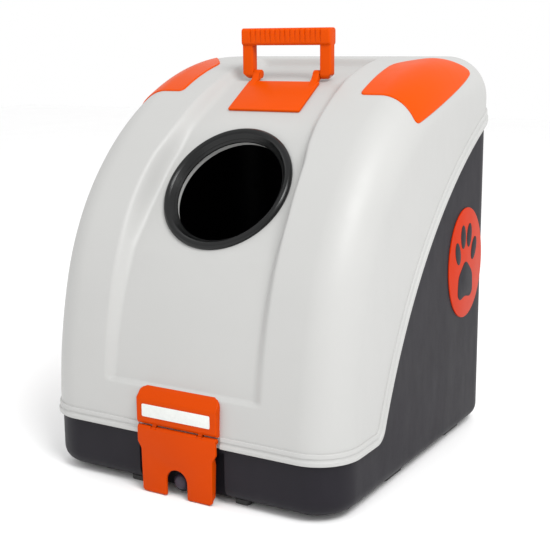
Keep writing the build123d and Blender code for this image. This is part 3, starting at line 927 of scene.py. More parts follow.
@dataclass
class Hood:
    """White hood: skin with the channel and the entry hole, flared rim, and collar inside the hole.

    The skin's rows are close together between the heights foot_rows at the channel's foot and the depths
    end_rows at its end, and its columns between the middle two of wall_columns, where the walls stand.
    """

    channel: Channel = field(default_factory=Channel)
    skin_foot_z: float = 68.0
    foot_rows: tuple[float, float] = (114.0, 128.0)
    end_rows: tuple[float, float] = (88.0, 110.0)
    wall_columns: tuple[float, float, float, float] = (84.0, 86.5, 121.0, 127.0)
    cheek_rows: int = 19
    hole_back_y: float = 60.0
    back_drop: float = 20.0
    rim_lap: float = 6.0
    hole_r: float = 73.0
    hole_cut: float = 79.5
    collar_deep: float = 15.0
    rim_proud: float = 3.2
    rim_tall: float = 14.5
    rim_sunk: float = 0.3
    latch_gap: float = 57.4

    def stations(self) -> Array:
        """Lengths along the side outline for the skin's rows, closer at the channel's foot and end."""
        chain = FORM.outline()
        fine = np.linspace(0.0, chain.length, 6000)
        points, _ = chain.at(fine)
        rising = fine < chain.length * 0.4

        def at_z(z: float) -> float:
            """Station on the front at a height."""
            return float(np.interp(z, points[rising, 1], fine[rising]))

        def at_y(y: float) -> float:
            """Station on the crown at a depth."""
            return float(np.interp(y, points[:, 0], fine))

        bend = at_y(FORM.back_y - FORM.back_round)
        back = bend + FORM.back_round * QUARTER
        ends = (at_z(self.skin_foot_z), *map(at_z, self.foot_rows), *map(at_y, self.end_rows), bend, back,
                back + self.back_drop)
        spans = zip(ends, ends[1:], (7, 12, 112, 20, 9, 16, 4))
        return np.concatenate([np.linspace(a, b, n, endpoint=False) for a, b, n in spans] + [ends[-1:]])

    def skin(self) -> Surface:
        """The hood's outside as one grid from cheek to cheek.

        The middle and the shoulders come from the box's form less the channel's sink. Each cheek is ruled
        between the shoulder's lower edge and a line just above the split, matched by length. Behind the
        crown the rows slide down to the split, which isn't level there.
        """
        rows = self.stations()[:, None]
        flat = FORM.half_width - FORM.shoulder
        inner, root, brow, outer = self.wall_columns
        half = np.concatenate([np.linspace(0, inner, 17), np.linspace(root, brow, 19),
                               np.linspace(outer, flat, 5),
                               np.linspace(flat, flat + FORM.shoulder * QUARTER, 20)[1:]])[None]
        grid = FORM.skin(rows, half, -self.channel.sink(rows, half))
        chain = FORM.outline()
        back = chain.length - (FORM.top_z - FORM.back_round - FORM.underside_z)
        share = np.clip((rows - back) / (rows[-1] - back), 0, 1)
        lap = FORM.split_height(grid[..., 1], self.rim_lap)
        level = FORM.top_z - FORM.back_round
        grid[..., 2] = np.where(share > 0, level + share * (lap - level), grid[..., 2])
        edge = grid[:, -1, 1:]
        split = FORM.split()
        tangent = unit(np.gradient(split, axis=0))
        line = split + self.rim_lap * np.stack([-tangent[:, 1], tangent[:, 0]], -1)
        line = line[(line[:, 0] > edge[0, 0]) & (line[:, 0] < edge[-1, 0])]
        line = np.vstack([edge[0], line, edge[-1]])
        matched = path_length(edge) / path_length(edge)[-1] * path_length(line)[-1]
        lower = resampled(line, matched)
        blend = np.linspace(0.0, 1.0, self.cheek_rows)[1:][None, :, None]
        cheek = edge[:, None] * (1 - blend) + lower[:, None] * blend
        cheek = np.concatenate([np.full(cheek.shape[:2] + (1,), FORM.half_width), cheek], -1)
        right = np.concatenate([grid, cheek], 1)
        full = np.concatenate([right[:, :0:-1] * (-1, 1, 1), right], 1)
        centres = (full[:-1, :-1] + full[1:, 1:]) / 2
        away = centres - self.ring_centre
        axis = self.ring_axes[2]
        radius = np.linalg.norm(away - (away @ axis)[..., None] * axis, axis=-1)
        keep = (radius > self.hole_cut) | (centres[..., 1] > self.hole_back_y)
        return Surface.grid(full, keep=keep)

    @property
    def ring_centre(self) -> Array:
        """Centre of the entry hole on the channel's floor."""
        return np.array([0.0, *self.channel.ring_centre])

    @property
    def ring_axes(self) -> tuple[Array, Array, Array]:
        """Directions across, up the slope and out of the entry hole."""
        slope = math.radians(self.channel.ring_slope)
        return (np.array([1.0, 0.0, 0.0]), np.array([0.0, math.cos(slope), math.sin(slope)]),
                np.array([0.0, -math.sin(slope), math.cos(slope)]))

    def rim(self) -> Surface:
        """Flared rim: a rounded lip carried round the whole of the split line, cut back behind the latch.

        A point of the lip's outline (u, v) lies at path + u * out + v * up, with out square to the plan and
        up square to both out and the path.
        """
        chain = FORM.plan()
        fine = np.linspace(0.0, chain.length, 620, endpoint=False)
        near = np.linspace(-3, 3, 13)
        right, left = self.latch_gap + near, chain.length - self.latch_gap - near
        stations = np.unique(np.concatenate([fine, right, left]))
        plan, heading = chain.at(stations)
        path = np.concatenate([plan, FORM.split_height(plan[:, 1], 0.0)[:, None]], 1)
        out = np.stack([np.sin(heading), -np.cos(heading), np.zeros_like(heading)], -1)
        tangent = unit(np.roll(path, -1, 0) - np.roll(path, 1, 0))
        up = unit(np.cross(out, tangent))
        p, t = self.rim_proud, self.rim_tall
        outline = rounded_polygon(
            ((-1.4, t + 0.5), (p * 0.55, t), (p * 0.62, t * 0.66), (p * 0.3, t * 0.58), (p * 0.36, t * 0.46),
             (p, t * 0.36), (p, 0.3), (-FORM.wall, 0.3), (-FORM.wall, t + 0.5)),
            (0.3, 1.3, 1.0, 0.8, 0.8, 1.4, 1.2, 0.6, 0.6))
        flare = 1.0 - ease((self.latch_gap + 1.5 - np.abs(path[:, :1])) / 2.0) * (path[:, 1:2] < 0)
        sunk = -self.rim_sunk
        proud = np.where(outline[:, 0] > sunk, sunk + (outline[:, 0] - sunk) * flare, outline[:, 0])
        points = path[:, None] + out[:, None] * proud[..., None] + up[:, None] * outline[None, :, 1:]
        return Surface.grid(points, close_rows=True, close_cols=True)

    def collar(self) -> Surface:
        """Short white collar behind the entry hole."""
        deep, inner, outer = -self.collar_deep, self.hole_r, self.hole_r + FORM.wall
        outline = rounded_polygon(((inner, deep), (outer, deep), (outer, -1.0), (inner, -1.0)),
                                  (1.3, 1.3, 0.2, 0.2))
        return revolved(outline, self.ring_centre, *self.ring_axes)

    def build(self) -> None:
        """Make the hood's three pieces and dress its hinge knuckles."""
        make_piece("hood_skin", self.skin(), HOOD_WHITE, "hood", ("hood_shell",), 60.0,
                   FORM.wall)
        make_piece("hood_rim", self.rim(), HOOD_WHITE, "hood", crease=40.0)
        make_piece("hood_collar", self.collar(), HOOD_WHITE, "hood")
        dress_node("hinge_hood_knuckles", HOOD_WHITE)


@dataclass
class EntryRing:
    """Dark bezel with a raised outer bead and a sleeve that lines the hole."""

    hood: Hood
    outer: float = 86.0
    sleeve: float = 70.5
    sleeve_deep: float = 6.4
    high: float = 6.0

    def build(self) -> None:
        """Make the ring, whose profile runs up the outside, over the bead, down the slope and the sleeve."""
        outer, inner, deep, high, in_hole = (self.outer, self.sleeve, -self.sleeve_deep, self.high,
                                             self.hood.hole_r - 0.2)
        outline = rounded_polygon(
            ((outer, -0.8), (outer, 3.2), (outer - 3.0, high), (outer - 6.5, high), (outer - 8.8, high - 1.6),
             (inner + 1.6, -2.2), (inner, -4.2), (inner, deep), (in_hole, deep), (in_hole, -0.8)),
            (0.4, 2.2, 2.0, 1.6, 1.4, 1.2, 0.8, 0.8, 0.3, 0.2))
        ring = revolved(outline, self.hood.ring_centre, *self.hood.ring_axes, count=160)
        make_piece("entry_bezel", ring, RING_BLACK, "hood", ("entry_ring",), 45.0)


@dataclass
class CornerInserts:
    """Orange skins let into the two front corners of the crown.

    The low line is (y, height) along the lower edge. The slant is (y, how far the inner edge has moved
    outwards), which rounds the bend and draws the slanting rear edge.
    """

    inner_x: float = 130.0
    front_y: float = -27.0
    rear_y: float = 155.0
    low_line: tuple[tuple[float, float], ...] = ((-27.0, 424.0), (-15.0, 427.0), (155.0, 478.0))
    slant: tuple[tuple[float, float], ...] = ((56.0, 0.0), (66.0, 2.0), (76.0, 8.5), (138.0, 57.0),
                                              (155.0, 70.0))
    proud: float = 1.5
    sunk: float = 1.0
    edge: float = 1.4
    corner: float = 7.0

    def station_at(self, y: Array, across: Array) -> Array:
        """Stations whose skin points lie at y, found by eight steps of Newton's rule on y.

        Args:
            y: depths wanted.
            across: lengths from the middle, of the same shape.

        Returns:
            Lengths along the side outline.
        """
        chain = FORM.outline()
        fine = np.linspace(0.0, chain.length, 4000)
        station = np.interp(y, chain.at(fine)[0][:, 0], fine)
        for _ in range(8):
            point = FORM.skin(station, across)
            _, heading = chain.at(station)
            station = station + (y - point[..., 1]) / np.maximum(np.cos(heading), 0.2)
        return station

    def low_edge(self, y: Array) -> Array:
        """Length across at which the skin falls to the insert's low line, found by halving.

        Args:
            y: depths of the rows.

        Returns:
            One length for each row.
        """
        flat = FORM.half_width - FORM.shoulder
        low, high = np.full_like(y, flat), np.full_like(y, flat + FORM.shoulder * QUARTER)
        line = np.interp(y, *zip(*self.low_line))
        for _ in range(26):
            middle = (low + high) / 2
            above = FORM.skin(self.station_at(y, middle), middle)[..., 2] > line
            low, high = np.where(above, middle, low), np.where(above, high, middle)
        return (low + high) / 2

    def surface(self) -> Surface:
        """The right insert as a grid over (y, across) with rounded corners and edges.

        Near each end the strip narrows by r - sqrt(r^2 - (r - e)^2), e being the distance from the end,
        which rounds its corners. The lift is the insert's height, falling along a quarter circle to the
        edge, and one more ring goes down below the skin.
        """
        ends = self.corner * (1 - np.cos(np.linspace(0, QUARTER, 9)))
        middle = np.linspace(self.front_y + self.corner, self.rear_y - self.corner, 56)[1:-1]
        y = np.concatenate([self.front_y + ends, middle, self.rear_y - ends[::-1]])
        from_end = np.minimum(y - self.front_y, self.rear_y - y)
        reach = np.clip(self.corner - from_end, 0, self.corner)
        cut = self.corner - np.sqrt(np.maximum(self.corner ** 2 - reach ** 2, 0))
        begin = self.inner_x + cut + np.interp(y, *zip(*self.slant))
        stop = self.low_edge(y) - cut
        share = np.concatenate([[0.0, 0.006, 0.014], np.linspace(0.03, 0.97, 44), [0.986, 0.994, 1.0]])
        across = begin[:, None] + share[None] * (stop - begin)[:, None]
        rows = np.broadcast_to(y[:, None], across.shape)
        margin = np.minimum(np.minimum(across - begin[:, None], stop[:, None] - across), from_end[:, None])
        fall = 1 - np.sqrt(np.clip(1 - (1 - np.clip(margin / self.edge, 0, 1)) ** 2, 0, 1))
        stations = self.station_at(rows, across)
        skin = FORM.skin(stations, across, self.proud - self.edge * fall)
        skirt = FORM.skin(stations, across, -self.sunk)
        ring = np.concatenate([np.stack([skin[0], skirt[0]], 1), np.stack([skin[1:, -1], skirt[1:, -1]], 1),
                               np.stack([skin[-1, -2::-1], skirt[-1, -2::-1]], 1),
                               np.stack([skin[-2:0:-1, 0], skirt[-2:0:-1, 0]], 1)], 0)
        return Surface.grid(skin) + Surface.grid(ring, close_rows=True) + Surface.grid(skirt)

    def build(self) -> None:
        """Make both inserts."""
        right = self.surface()
        for side, surface in (("right", right), ("left", right.mirrored())):
            make_piece(f"insert_{side}", surface, ORANGE, "hood",
                       (f"corner_insert_{side}",), 50.0)


# ---------------------------------------------------------------- handle

@dataclass
class CarryHandle:
    """Ribbed grip on two posts, and the plate with lugs that it folds from."""

    hood: Hood
    pivot: tuple[float, float] = (26.0, 480.0)
    half: float = 65.5
    top_z: float = 538.5
    grip_tall: float = 22.0
    grip_deep: float = 18.0
    post_wide: float = 15.5
    post_deep: float = 12.0
    foot_chamfer: float = 6.4
    rib_pitch: float = 7.4
    rib_count: int = 15
    rib_deep: float = 2.2
    rib_gap: float = 1.25
    tip_round: float = 1.2
    grip_round: float = 4.2
    plate_half: float = 52.5
    plate_long: float = 63.5
    plate_thick: float = 3.5
    plate_set_back: float = 35.0
    lug_wide: float = 10.0
    lug_round: float = 5.4
    lug_gap: float = 0.5

    def grip(self) -> Surface:
        """Grip bar: a rounded section carried across, with upright grooves in its upper front and back.

        A groove is deepest where x is a whole number of pitches and a half off, and its sides ease out.
        """
        half = self.half - 0.1
        tips = half - np.linspace(0, self.tip_round, 7)
        x = np.unique(np.concatenate([np.linspace(-half, half, 261), tips, -tips]))
        end = np.clip((half - np.abs(x)) / self.tip_round, 0, 1)
        shrink = self.tip_round * (1 - np.sqrt(np.clip(1 - (1 - end) ** 2, 0, 1)))
        rings = rounded_rectangles(self.grip_tall / 2 - shrink, self.grip_deep / 2 - shrink,
                                   self.grip_round - shrink * 0.5, 9)
        phase = np.mod(x / self.rib_pitch + 0.5, 1.0) - 0.5
        groove = ease(1.3 - np.abs(phase) * self.rib_pitch / self.rib_gap)
        groove = groove * (np.abs(x) < self.rib_pitch * (self.rib_count / 2))
        upper = ease((rings[..., 0] + 6.5) / 3.0)
        rings[..., 1] -= np.sign(rings[..., 1]) * self.rib_deep * groove[:, None] * upper
        middle_z = self.top_z - self.grip_tall / 2
        points = np.stack([np.broadcast_to(x[:, None], rings.shape[:2]), self.pivot[0] + rings[..., 1],
                           middle_z + rings[..., 0]], -1)
        return Surface.grid(points, close_cols=True, cap_ends=True)

    def post(self) -> Surface:
        """Right post: a rounded section carried up, round at the foot and chamfered at its outer corner."""
        y, z0 = self.pivot
        r = self.post_deep / 2
        top = self.top_z - 5.0
        z = np.concatenate([z0 - r * np.cos(np.linspace(0.12, QUARTER, 12)), np.linspace(z0 + 1.0, top, 14)])
        deep = np.where(z < z0, np.sqrt(np.maximum(r ** 2 - (z0 - z) ** 2, 0.2)), r)
        outer = self.half - np.maximum(z0 - r + self.foot_chamfer - z, 0.0)
        inner = np.full_like(z, self.half - self.post_wide)
        rings = rounded_rectangles((outer - inner) / 2, deep, np.minimum(1.5, deep * 0.6))
        points = np.stack([(outer + inner)[:, None] / 2 + rings[..., 0], y + rings[..., 1],
                           np.broadcast_to(z[:, None], rings.shape[:2])], -1)
        return Surface.grid(points, close_cols=True, cap_ends=True)

    def plate(self) -> Surface:
        """Plate on the channel's flat, with a web and barrel under each post."""
        channel = self.hood.channel
        slope = math.radians(channel.plate_slope)
        front = channel.along(channel.seat_high, channel.plate_slope, self.plate_set_back)
        half, long, r = self.plate_half, self.plate_long, self.lug_round
        outline = rounded_polygon(((-half, 0), (half, 0), (half, long), (-half, long)), (2.5, 2.5, 2.0, 2.0))
        axes = ((1, 0, 0), (0, math.cos(slope), math.sin(slope)), (0, -math.sin(slope), math.cos(slope)))
        made = slab(outline, -0.3, self.plate_thick, 1.1, (0.0, *front), axes)
        web = rounded_polygon(
            ((-22, -15.5), (-10, -6), (-r, 1), (-r, r), (r, r), (r, -r), (-2, -6.4), (-16, -18), (-22, -19)),
            (1.5, 4, 4, 5.3, 5.3, 5.3, 3, 2, 1), 8)
        start = self.half - self.post_wide - self.lug_gap - self.lug_wide
        lug = slab(web, start, start + self.lug_wide, 0.8, (0.0, *self.pivot), FACING_X)
        return made + lug + lug.mirrored()

    def build(self) -> None:
        """Make the handle and its plate, and dress the pins and screws."""
        post = self.post()
        make_piece("carry_bail", self.grip() + post + post.mirrored(), ORANGE, "handle",
                   ("handle_bail",), 38.0)
        make_piece("handle_seat_plate", self.plate(), ORANGE, "hood", ("handle_plate",),
                   38.0)
        dress_node("handle_pins", STEEL)
        dress_node("handle_plate_screws", STEEL)


# ---------------------------------------------------------------- latch

@dataclass
class Latch:
    """Nosed bracket on the hood's foot with a blank label, and the swinging lever below it.

    Places are (y, z) on the box's middle plane. The ears and the hooks' prongs stand at their spans, out
    from the middle plane on both sides, and the lever's barrel is cut away over barrel_gap to clear the ears.
    """

    half: float = 56.0
    pivot: tuple[float, float] = (-238.4, 71.5)
    bracket_low: float = 76.5
    bracket_face: float = -241.5
    nose_z: float = 122.5
    corner: float = 11.0
    edge_round: float = 1.3
    ear_round: float = 3.1
    ear_span: tuple[float, float] = (30.0, 36.0)
    lever_low: float = -7.5
    lever_top: float = 72.6
    lever_thick: float = 4.0
    barrel: float = 3.4
    barrel_gap: tuple[float, float] = (28.8, 37.2)
    prong_span: tuple[float, float] = (18.0, 26.0)
    neck: float = 50.0
    arch_half: float = 15.0
    arch_top: float = 26.5
    label_half: float = 48.5
    label_span: tuple[float, float] = (86.5, 102.0)
    label_thick: float = 0.7

    def bracket(self) -> Surface:
        """Bracket: a nosed profile carried across.

        A ceiling that falls along a quarter circle at each end rounds its top corners, and the face is drawn
        in along a smaller one, which rounds its upright edges.
        """
        half, low, face, nose, r, e = (self.half + 1.0, self.bracket_low, self.bracket_face, self.nose_z,
                                       self.corner, self.edge_round)
        profile = rounded_polygon(
            ((-233.2, low), (face + 3.2, low), (face, low + 4.0), (face, 107.0), (-234.0, 118.5),
             (-226.5, nose), (-224.5, 121.0), (-229.5, 115.5), (-233.2, 100.0)),
            (0.3, 0.6, 0.8, 9.0, 8.0, 1.2, 0.8, 3.0, 3.0), 8)
        x = np.concatenate([-half + r * (1 - np.cos(np.linspace(0, QUARTER, 14))),
                            np.linspace(-half + r, half - r, 20)[1:-1],
                            half - r * (1 - np.cos(np.linspace(QUARTER, 0, 14)))])
        near = np.clip(np.abs(x) - half + r, 0, r)
        ceiling = nose - r + np.sqrt(np.maximum(r ** 2 - near ** 2, 0))
        edge = np.clip(e - (half - np.abs(x)), 0, e)
        inset = e - np.sqrt(np.maximum(e ** 2 - edge ** 2, 0))
        z = np.minimum(profile[None, :, 1], ceiling[:, None])
        y = np.maximum(profile[None, :, 0], face + inset[:, None])
        points = np.stack([np.broadcast_to(x[:, None], z.shape), np.broadcast_to(y, z.shape), z], -1)
        return Surface.grid(points, close_cols=True, cap_ends=True)

    def ears(self) -> Surface:
        """Two ears under the bracket that carry the lever's pin."""
        y, z = self.pivot
        r, top = self.ear_round, self.bracket_low + 1
        outline = rounded_polygon(((y - r, z - r), (y + r, z - r), (y + r, top), (y - 0.5, top),
                                   (y - 0.8, z + r), (y - r, z + r)), (3.0, 3.0, 0.4, 0.4, 0.8, 2.6))
        ear = slab(outline, *self.ear_span, 0.4, (0, 0, 0), FACING_X)
        return ear + ear.mirrored()

    def lever(self) -> Surface:
        """Lever: a shouldered plate with a finger arch, side flanges, a barrel and two hooks."""
        y, z = self.pivot
        half, neck, low, top = self.half, self.neck, self.lever_low, self.lever_top
        right = ((self.arch_half, low), (neck, low), (neck + 1, 46.0), (half, 54.5), (half, top))
        arch = ((-self.arch_half, low), (-self.arch_half, self.arch_top), (self.arch_half, self.arch_top))
        left = tuple((-u, v) for u, v in right[:0:-1])
        outline = rounded_polygon(arch + right + left,
                                  (1.5, 14.8, 14.8, 1.5, 4.5, 4, 4, 1.6, 1.6, 4, 4, 4.5), 9)
        front = y - self.lever_thick
        made = slab(outline, 0.0, self.lever_thick, 1.1, (0.0, front, 0.0), FACING_Y)
        side = rounded_polygon(((front + 1.5, low + 3), (front + 8.5, low + 8), (front + 11.0, 40.0),
                                (front + 8.0, 52.0), (front + 1.5, 53.0)), (1, 4, 6, 4, 1))
        flange = slab(side, neck - 2.9, neck - 0.2, 0.7, (0, 0, 0), FACING_X)
        turn = np.linspace(0, FULL, 33)[:-1]
        ring = np.stack([y + self.barrel * np.cos(turn), z + self.barrel * np.sin(turn)], -1)
        inner, outer = self.barrel_gap
        barrel = slab(ring, -inner, inner, 0.6, (0, 0, 0), FACING_X)
        end = slab(ring, outer, half, 0.6, (0, 0, 0), FACING_X)
        hook = rounded_polygon(((y - 1, 33.0), (-225.5, 33.0), (-225.5, 40.0), (-228.5, 40.0), (-228.5, 37.0),
                                (y - 1, 37.0)), (0.3, 1.5, 1.2, 1.0, 0.6, 0.3))
        prong = slab(hook, *self.prong_span, 0.5, (0, 0, 0), FACING_X)
        return made + flange + flange.mirrored() + barrel + end + end.mirrored() + prong + prong.mirrored()

    def label(self) -> Surface:
        """Blank label on the bracket's face."""
        half, (low, high) = self.label_half, self.label_span
        outline = rounded_polygon(((-half, low), (half, low), (half, high), (-half, high)), (1.6,) * 4)
        return slab(outline, 0.0, self.label_thick, 0.25, (0, self.bracket_face, 0), FACING_FRONT)

    def build(self) -> None:
        """Make the bracket, lever and label, and dress the small pieces behind them."""
        make_piece("latch_nose_bracket", self.bracket() + self.ears(), LATCH_ORANGE, "hood",
                   ("latch_bracket",), 40.0)
        make_piece("latch_swing_lever", self.lever(), LATCH_ORANGE, "lever",
                   ("latch_lever",), 40.0)
        make_piece("latch_blank_label", self.label(), LABEL_FILM, "hood", ("latch_label",))
        dress_node("latch_pin", STEEL)
        dress_node("latch_bracket_screws", STEEL)
        dress_node("latch_strike", TUB_GREY)
        dress_node("lock_housing", TUB_GREY)
        dress_node("lock_button", BUTTON_GREY)


@dataclass
class ButtonSpring:
    """Coil spring behind the push button."""

    wire: float = 0.5
    turns: float = 2.5
    steps: int = 150
    sides: int = 10
    stroke: float = 3.0

    def coil(self, low: Array, high: Array) -> Surface:
        """Round wire carried along a helix about Y.

        At turn t the path is (R sin t, y0 + pitch t, R cos t) about the box's middle, and the wire's ring
        is spanned by the outward direction and its cross product with the path's direction.

        Args:
            low: lowest corner of the space the spring fills.
            high: highest corner.

        Returns:
            The surface, with a face across each end.
        """
        middle = (low + high) / 2
        radius = (high[2] - low[2]) / 2 - self.wire
        length = high[1] - low[1] - 2 * self.wire
        turn = np.linspace(0.0, FULL * self.turns, self.steps)
        out = np.stack([np.sin(turn), np.zeros_like(turn), np.cos(turn)], -1)
        path = out * radius + np.array([middle[0], low[1] + self.wire, middle[2]])
        path[:, 1] += length * turn / turn[-1]
        side = unit(np.cross(out, np.gradient(path, axis=0)))
        ring = np.linspace(0.0, FULL, self.sides, endpoint=False)[None, :, None]
        points = path[:, None] + self.wire * (np.cos(ring) * out[:, None] + np.sin(ring) * side[:, None])
        return Surface.grid(points, close_cols=True, cap_ends=True)

    def build(self) -> None:
        """Make the spring where the CAD spring stands, fixed to the tub, with a mesh of its own."""
        low, high = (np.array(corner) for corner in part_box("button_spring"))
        surface = self.coil(1000.0 * low - ROW_SHIFT, 1000.0 * high - ROW_SHIFT)
        spring = make_piece("button_coil", surface, STEEL, "tub", ("button_spring",))
        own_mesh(spring)


# ---------------------------------------------------------------- tub

@dataclass
class Tub:
    """Dark tub with high cheeks, a pocket for the latch and a locating lip.

    Step is how far the tub stands in from the hood's outline, and rim_ease how far down from the rim the
    wall's rows follow the split line.
    """

    step: float = 2.0
    edge_round: float = 18.0
    gap: float = 0.25
    lip_tall: float = 5.0
    lip_end_y: float = 150.0
    pocket_half: float = 60.0
    pocket_top: float = 55.0
    pocket_back: float = -221.0
    pocket_ease: float = 1.6
    rim_ease: float = 11.0
    floor_margin: float = 46.0

    def section(self) -> tuple[Array, Array]:
        """The wall's section from the rim down the outside, under the floor, and up the inside to the lip.

        A row is its inset from the hood's outline, share s of the way down, height off that share, and kind.
        A point's height is s * base + (1 - s) * rim + off, so that the rim follows the split line and the
        foot is level.

        Returns:
            The outside's rows and the inside's rows, with kind 0 outside, 1 inside and 2 on the lip.
        """
        quarter = np.linspace(0, QUARTER, 9)
        turn, out, ease_down = self.edge_round, self.step, self.rim_ease
        outside = [(out, 0.0, -d, 0.0) for d in (0.0, 1.0, 4.0, 5.6, 6.2, 6.8, 7.4, 8.0, 8.6, 9.2, ease_down)]
        outside += [(out, s, -ease_down * (1 - s), 0.0) for s in np.linspace(0.08, 1.0, 12)]
        outside += [(out + turn * (1 - math.cos(a)), 1.0, -turn * math.sin(a), 0.0) for a in quarter[1:]]
        outside += [(out + self.floor_margin, 1.0, -turn, 0.0)]
        inner, turn_in, lip = out + FORM.wall, turn - FORM.wall, self.lip_tall
        inside = [(out + self.floor_margin, 1.0, -turn_in, 1.0)]
        inside += [(inner + turn_in * (1 - math.cos(a)), 1.0, -turn_in * math.sin(a), 1.0)
                   for a in quarter[::-1]]
        inside += [(inner, s, -ease_down * (1 - s), 1.0) for s in np.linspace(1.0, 0.08, 12)[1:]]
        inside += [(inner, 0.0, -d, 1.0) for d in (ease_down, 8.0, 2.0)]
        inside += [(inner + step, 0.0, off, 2.0) for step, off in (
            (0.5, -1.0), (0.5, lip - 0.4), (0.1, lip), (-1.1, lip), (-1.5, lip - 0.4), (-1.5, 0.0))]
        return np.array(outside), np.array(inside)

    def shell(self) -> Surface:
        """The tub: its section carried round the plan outline, with floor and underside drawn to the middle.

        The pocket presses the front wall back to pocket_back where a mask is one. The mask eases from one to
        nought at the pocket's sides and top, and the inside keeps a wall's thickness behind it.
        """
        chain = FORM.plan()
        fine = np.linspace(0.0, chain.length, 520, endpoint=False)
        near = self.pocket_half + np.linspace(-2.0, 4.5, 14)
        stations = np.unique(np.concatenate([fine, near, chain.length - near]))
        plan, heading = chain.at(stations)
        out = np.stack([np.sin(heading), -np.cos(heading)], -1)
        outside, inside = self.section()
        inset, share, off, kind = np.vstack([outside, inside]).T[..., None]
        xy = plan[None] - out[None] * inset[..., None]
        rim = FORM.split_height(xy[..., 1], -self.gap)
        base = FORM.underside_z + self.step + self.edge_round
        lip = np.where(kind > 1.5, ease((self.lip_end_y - xy[..., 1]) / 12.0), 1.0)
        rise = np.where((kind > 1.5) & (off > 0), off * lip, off)
        z = share * base + (1 - share) * rim + rise
        inner = kind > 0.5
        grow = np.where(inner, FORM.wall, 0.0)
        back = self.pocket_back + grow
        mask = ease((self.pocket_half + grow + 1.2 - np.abs(xy[..., 0])) / self.pocket_ease)
        mask = mask * (xy[..., 1] < 0) * ease((self.pocket_top + grow + 1.0 - z) / self.pocket_ease)
        y = xy[..., 1] + mask * np.maximum(back - xy[..., 1], 0.0)
        wall = np.stack([xy[..., 0], y, z], -1)
        k = len(outside)
        middle = np.array([0.0, (FORM.front_y + FORM.back_y) / 2])

        def drawn(row: Array) -> Array:
            """Rows that draw a loop in to the middle, one inside the other.

            Args:
                row: the loop's points.

            Returns:
                Four rows, the last of them the middle point over and over.
            """
            shares = np.array([0.75, 0.5, 0.25, 0.0])[:, None, None]
            flat = middle + (row[None, :, :2] - middle) * shares
            return np.concatenate([flat, np.broadcast_to(row[None, :, 2:], flat.shape[:2] + (1,))], -1)

        rows = np.concatenate([wall[:k], drawn(wall[k - 1]), drawn(wall[k])[::-1], wall[k:]], 0)
        return Surface.grid(rows, close_rows=True, close_cols=True)

    def build(self) -> None:
        """Make the tub and dress its feet and hinge."""
        make_piece("tub_moulding", self.shell(), TUB_GREY, "tub", ("tub_shell",), 40.0)
        dress_node("feet", FOOT_RUBBER)
        dress_node("hinge_tub_knuckles", TUB_GREY)
        dress_node("hinge_pins", STEEL)


@dataclass
class PawBadges:
    """Oval orange badge on each cheek with a dark generic paw.

    The toes are (y, z, tilt in degrees) from the badge's centre. The paw's marks stand proud of the badge.
    """

    centre: tuple[float, float] = (134.0, 231.0)
    half: tuple[float, float] = (58.0, 74.0)
    thick: float = 1.5
    face_x: float = 208.0
    mark_proud: float = 0.35
    mark_sunk: float = 0.6
    toes: tuple[tuple[float, float, float], ...] = (
        (-28.0, 16.0, 20.0), (-10.5, 36.0, 6.0), (10.5, 36.0, -6.0), (28.0, 16.0, -20.0))
    toe_half: tuple[float, float] = (8.5, 16.0)

    def oval(self, half: Sequence[float], at: Sequence[float] = (0, 0), tilt: float = 0.0,
             count: int = 48) -> Array:
        """Ellipse outline: (a cos t, b sin t), turned about its own centre.

        Args:
            half: its half sizes, a and b.
            at: its centre.
            tilt: its turn in degrees.
            count: points round it.

        Returns:
            The outline's points.
        """
        turn = np.linspace(0, FULL, count, endpoint=False)
        u, v = half[0] * np.cos(turn), half[1] * np.sin(turn)
        a = math.radians(tilt)
        return np.stack([u * math.cos(a) - v * math.sin(a) + at[0],
                         u * math.sin(a) + v * math.cos(a) + at[1]], -1)

    def sole(self) -> Array:
        """Outline of the paw's main pad: a rounded triangle with a waisted foot."""
        return rounded_polygon(((-27, -51), (0, -45), (27, -51), (24.5, -16), (0, 5), (-24.5, -16)),
                               (11.0, 22.0, 11.0, 18.0, 12.0, 18.0), 12)

    def build(self) -> None:
        """Make both badges and their paws."""
        place = ((self.face_x, *self.centre), FACING_X)
        plate = slab(self.oval(self.half, count=160), -0.3, self.thick, 0.6, *place)
        marks = (self.thick - self.mark_sunk, self.thick + self.mark_proud, 0.3, *place)
        paw = slab(self.sole(), *marks)
        for y, z, tilt in self.toes:
            paw = paw + slab(self.oval(self.toe_half, (y, z), tilt), *marks)
        for side, oval, pads in (("right", plate, paw), ("left", plate.mirrored(), paw.mirrored())):
            make_piece(f"badge_oval_{side}", oval, BADGE_ORANGE, "tub", (f"badge_{side}",))
            make_piece(f"badge_paw_{side}", pads, TUB_GREY, "tub")


# ---------------------------------------------------------------- studio

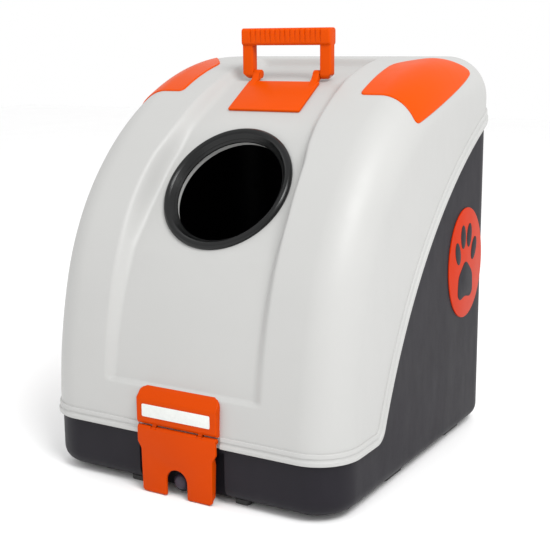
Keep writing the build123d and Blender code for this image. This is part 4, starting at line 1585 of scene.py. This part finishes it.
@dataclass
class Studio:
    """Pale floor, soft lights and the camera.

    The camera's turn is its azimuth, its tip below level and its roll, in degrees. A light is its name,
    place in metres, size and power.
    """

    camera_place: tuple[float, float, float] = (0.7360, -1.2489, 0.5327)
    camera_turn: tuple[float, float, float] = (30.82, 11.96, 0.47)
    lens: float = 72.84
    sensor: float = 36.0
    clip: tuple[float, float] = (0.05, 30.0)
    floor_half: float = 6000.0
    aim: tuple[float, float, float] = (0.0, 0.0, 0.25)
    lights: tuple[tuple[str, tuple[float, float, float], float, float], ...] = (
        ("key", (1.6, -1.0, 2.25), 1.1, 52.0), ("fill", (-0.6, -2.2, 1.9), 1.4, 2.0))

    def floor(self) -> None:
        """A wide pale floor at the box's feet."""
        ticks = np.linspace(-self.floor_half, self.floor_half, 25)
        x, y = np.meshgrid(ticks, ticks)
        surface = Surface.grid(np.stack([x, y, np.full_like(x, -ROW_SHIFT[2])], -1))
        mesh = bpy.data.meshes.new("studio_floor_sheet")
        mesh.from_pydata(row_frame(surface.points).tolist(), [], surface.faces)
        mesh.materials.append(FLOOR_PALE.material())
        sheet = bpy.data.objects.new("studio_floor_sheet", mesh)
        bpy.context.scene.collection.objects.link(sheet)

    def light(self, name: str, place: Sequence[float], size: float, power: float) -> None:
        """One square soft white light that looks at the box.

        Args:
            name: its name.
            place: where it stands, in metres.
            size: its side, in metres.
            power: its power in watts.
        """
        data = bpy.data.lights.new(name, "AREA")
        data.size = size
        data.energy = power
        lamp = bpy.data.objects.new(name, data)
        lamp.location = place
        lamp.rotation_euler = (Vector(self.aim) - Vector(place)).to_track_quat("-Z", "Y").to_euler()
        bpy.context.scene.collection.objects.link(lamp)

    def camera(self) -> None:
        """The camera, turned about Z, then tipped down, then rolled a little."""
        data = bpy.data.cameras.new("view")
        data.lens = self.lens
        data.sensor_width = self.sensor
        data.clip_start, data.clip_end = self.clip
        camera = bpy.data.objects.new("view", data)
        azimuth, pitch, roll = (math.radians(a) for a in self.camera_turn)
        turn = Euler((0, 0, azimuth)).to_matrix() @ Euler((QUARTER - pitch, 0, 0)).to_matrix()
        camera.matrix_world = (turn @ Euler((0, 0, -roll)).to_matrix()).to_4x4()
        camera.location = self.camera_place
        bpy.context.scene.collection.objects.link(camera)
        bpy.context.scene.camera = camera

    def build(self) -> None:
        """Make the floor, the lights, the white surround and the camera."""
        self.floor()
        world = bpy.data.worlds.new("studio_surround")
        world.use_nodes = True
        surround = world.node_tree.nodes["Background"]
        surround.inputs["Color"].default_value = (1.0, 1.0, 1.0, 1.0)
        surround.inputs["Strength"].default_value = 1.0
        bpy.context.scene.world = world
        for light in self.lights:
            self.light(*light)
        bpy.context.scene.view_settings.view_transform = "Standard"
        self.camera()


def main() -> None:
    """Build the box sub-assembly by sub-assembly, then the studio."""
    logging.basicConfig(level=logging.INFO, format="%(name)s %(message)s")
    hood = Hood()
    parts = (hood, EntryRing(hood), CornerInserts(), CarryHandle(hood), Latch(), ButtonSpring(), Tub(),
             PawBadges(), Studio())
    for part in parts:
        part.build()
        LOG.info("built %s", type(part).__name__)


if __name__ == "__main__":
    main()
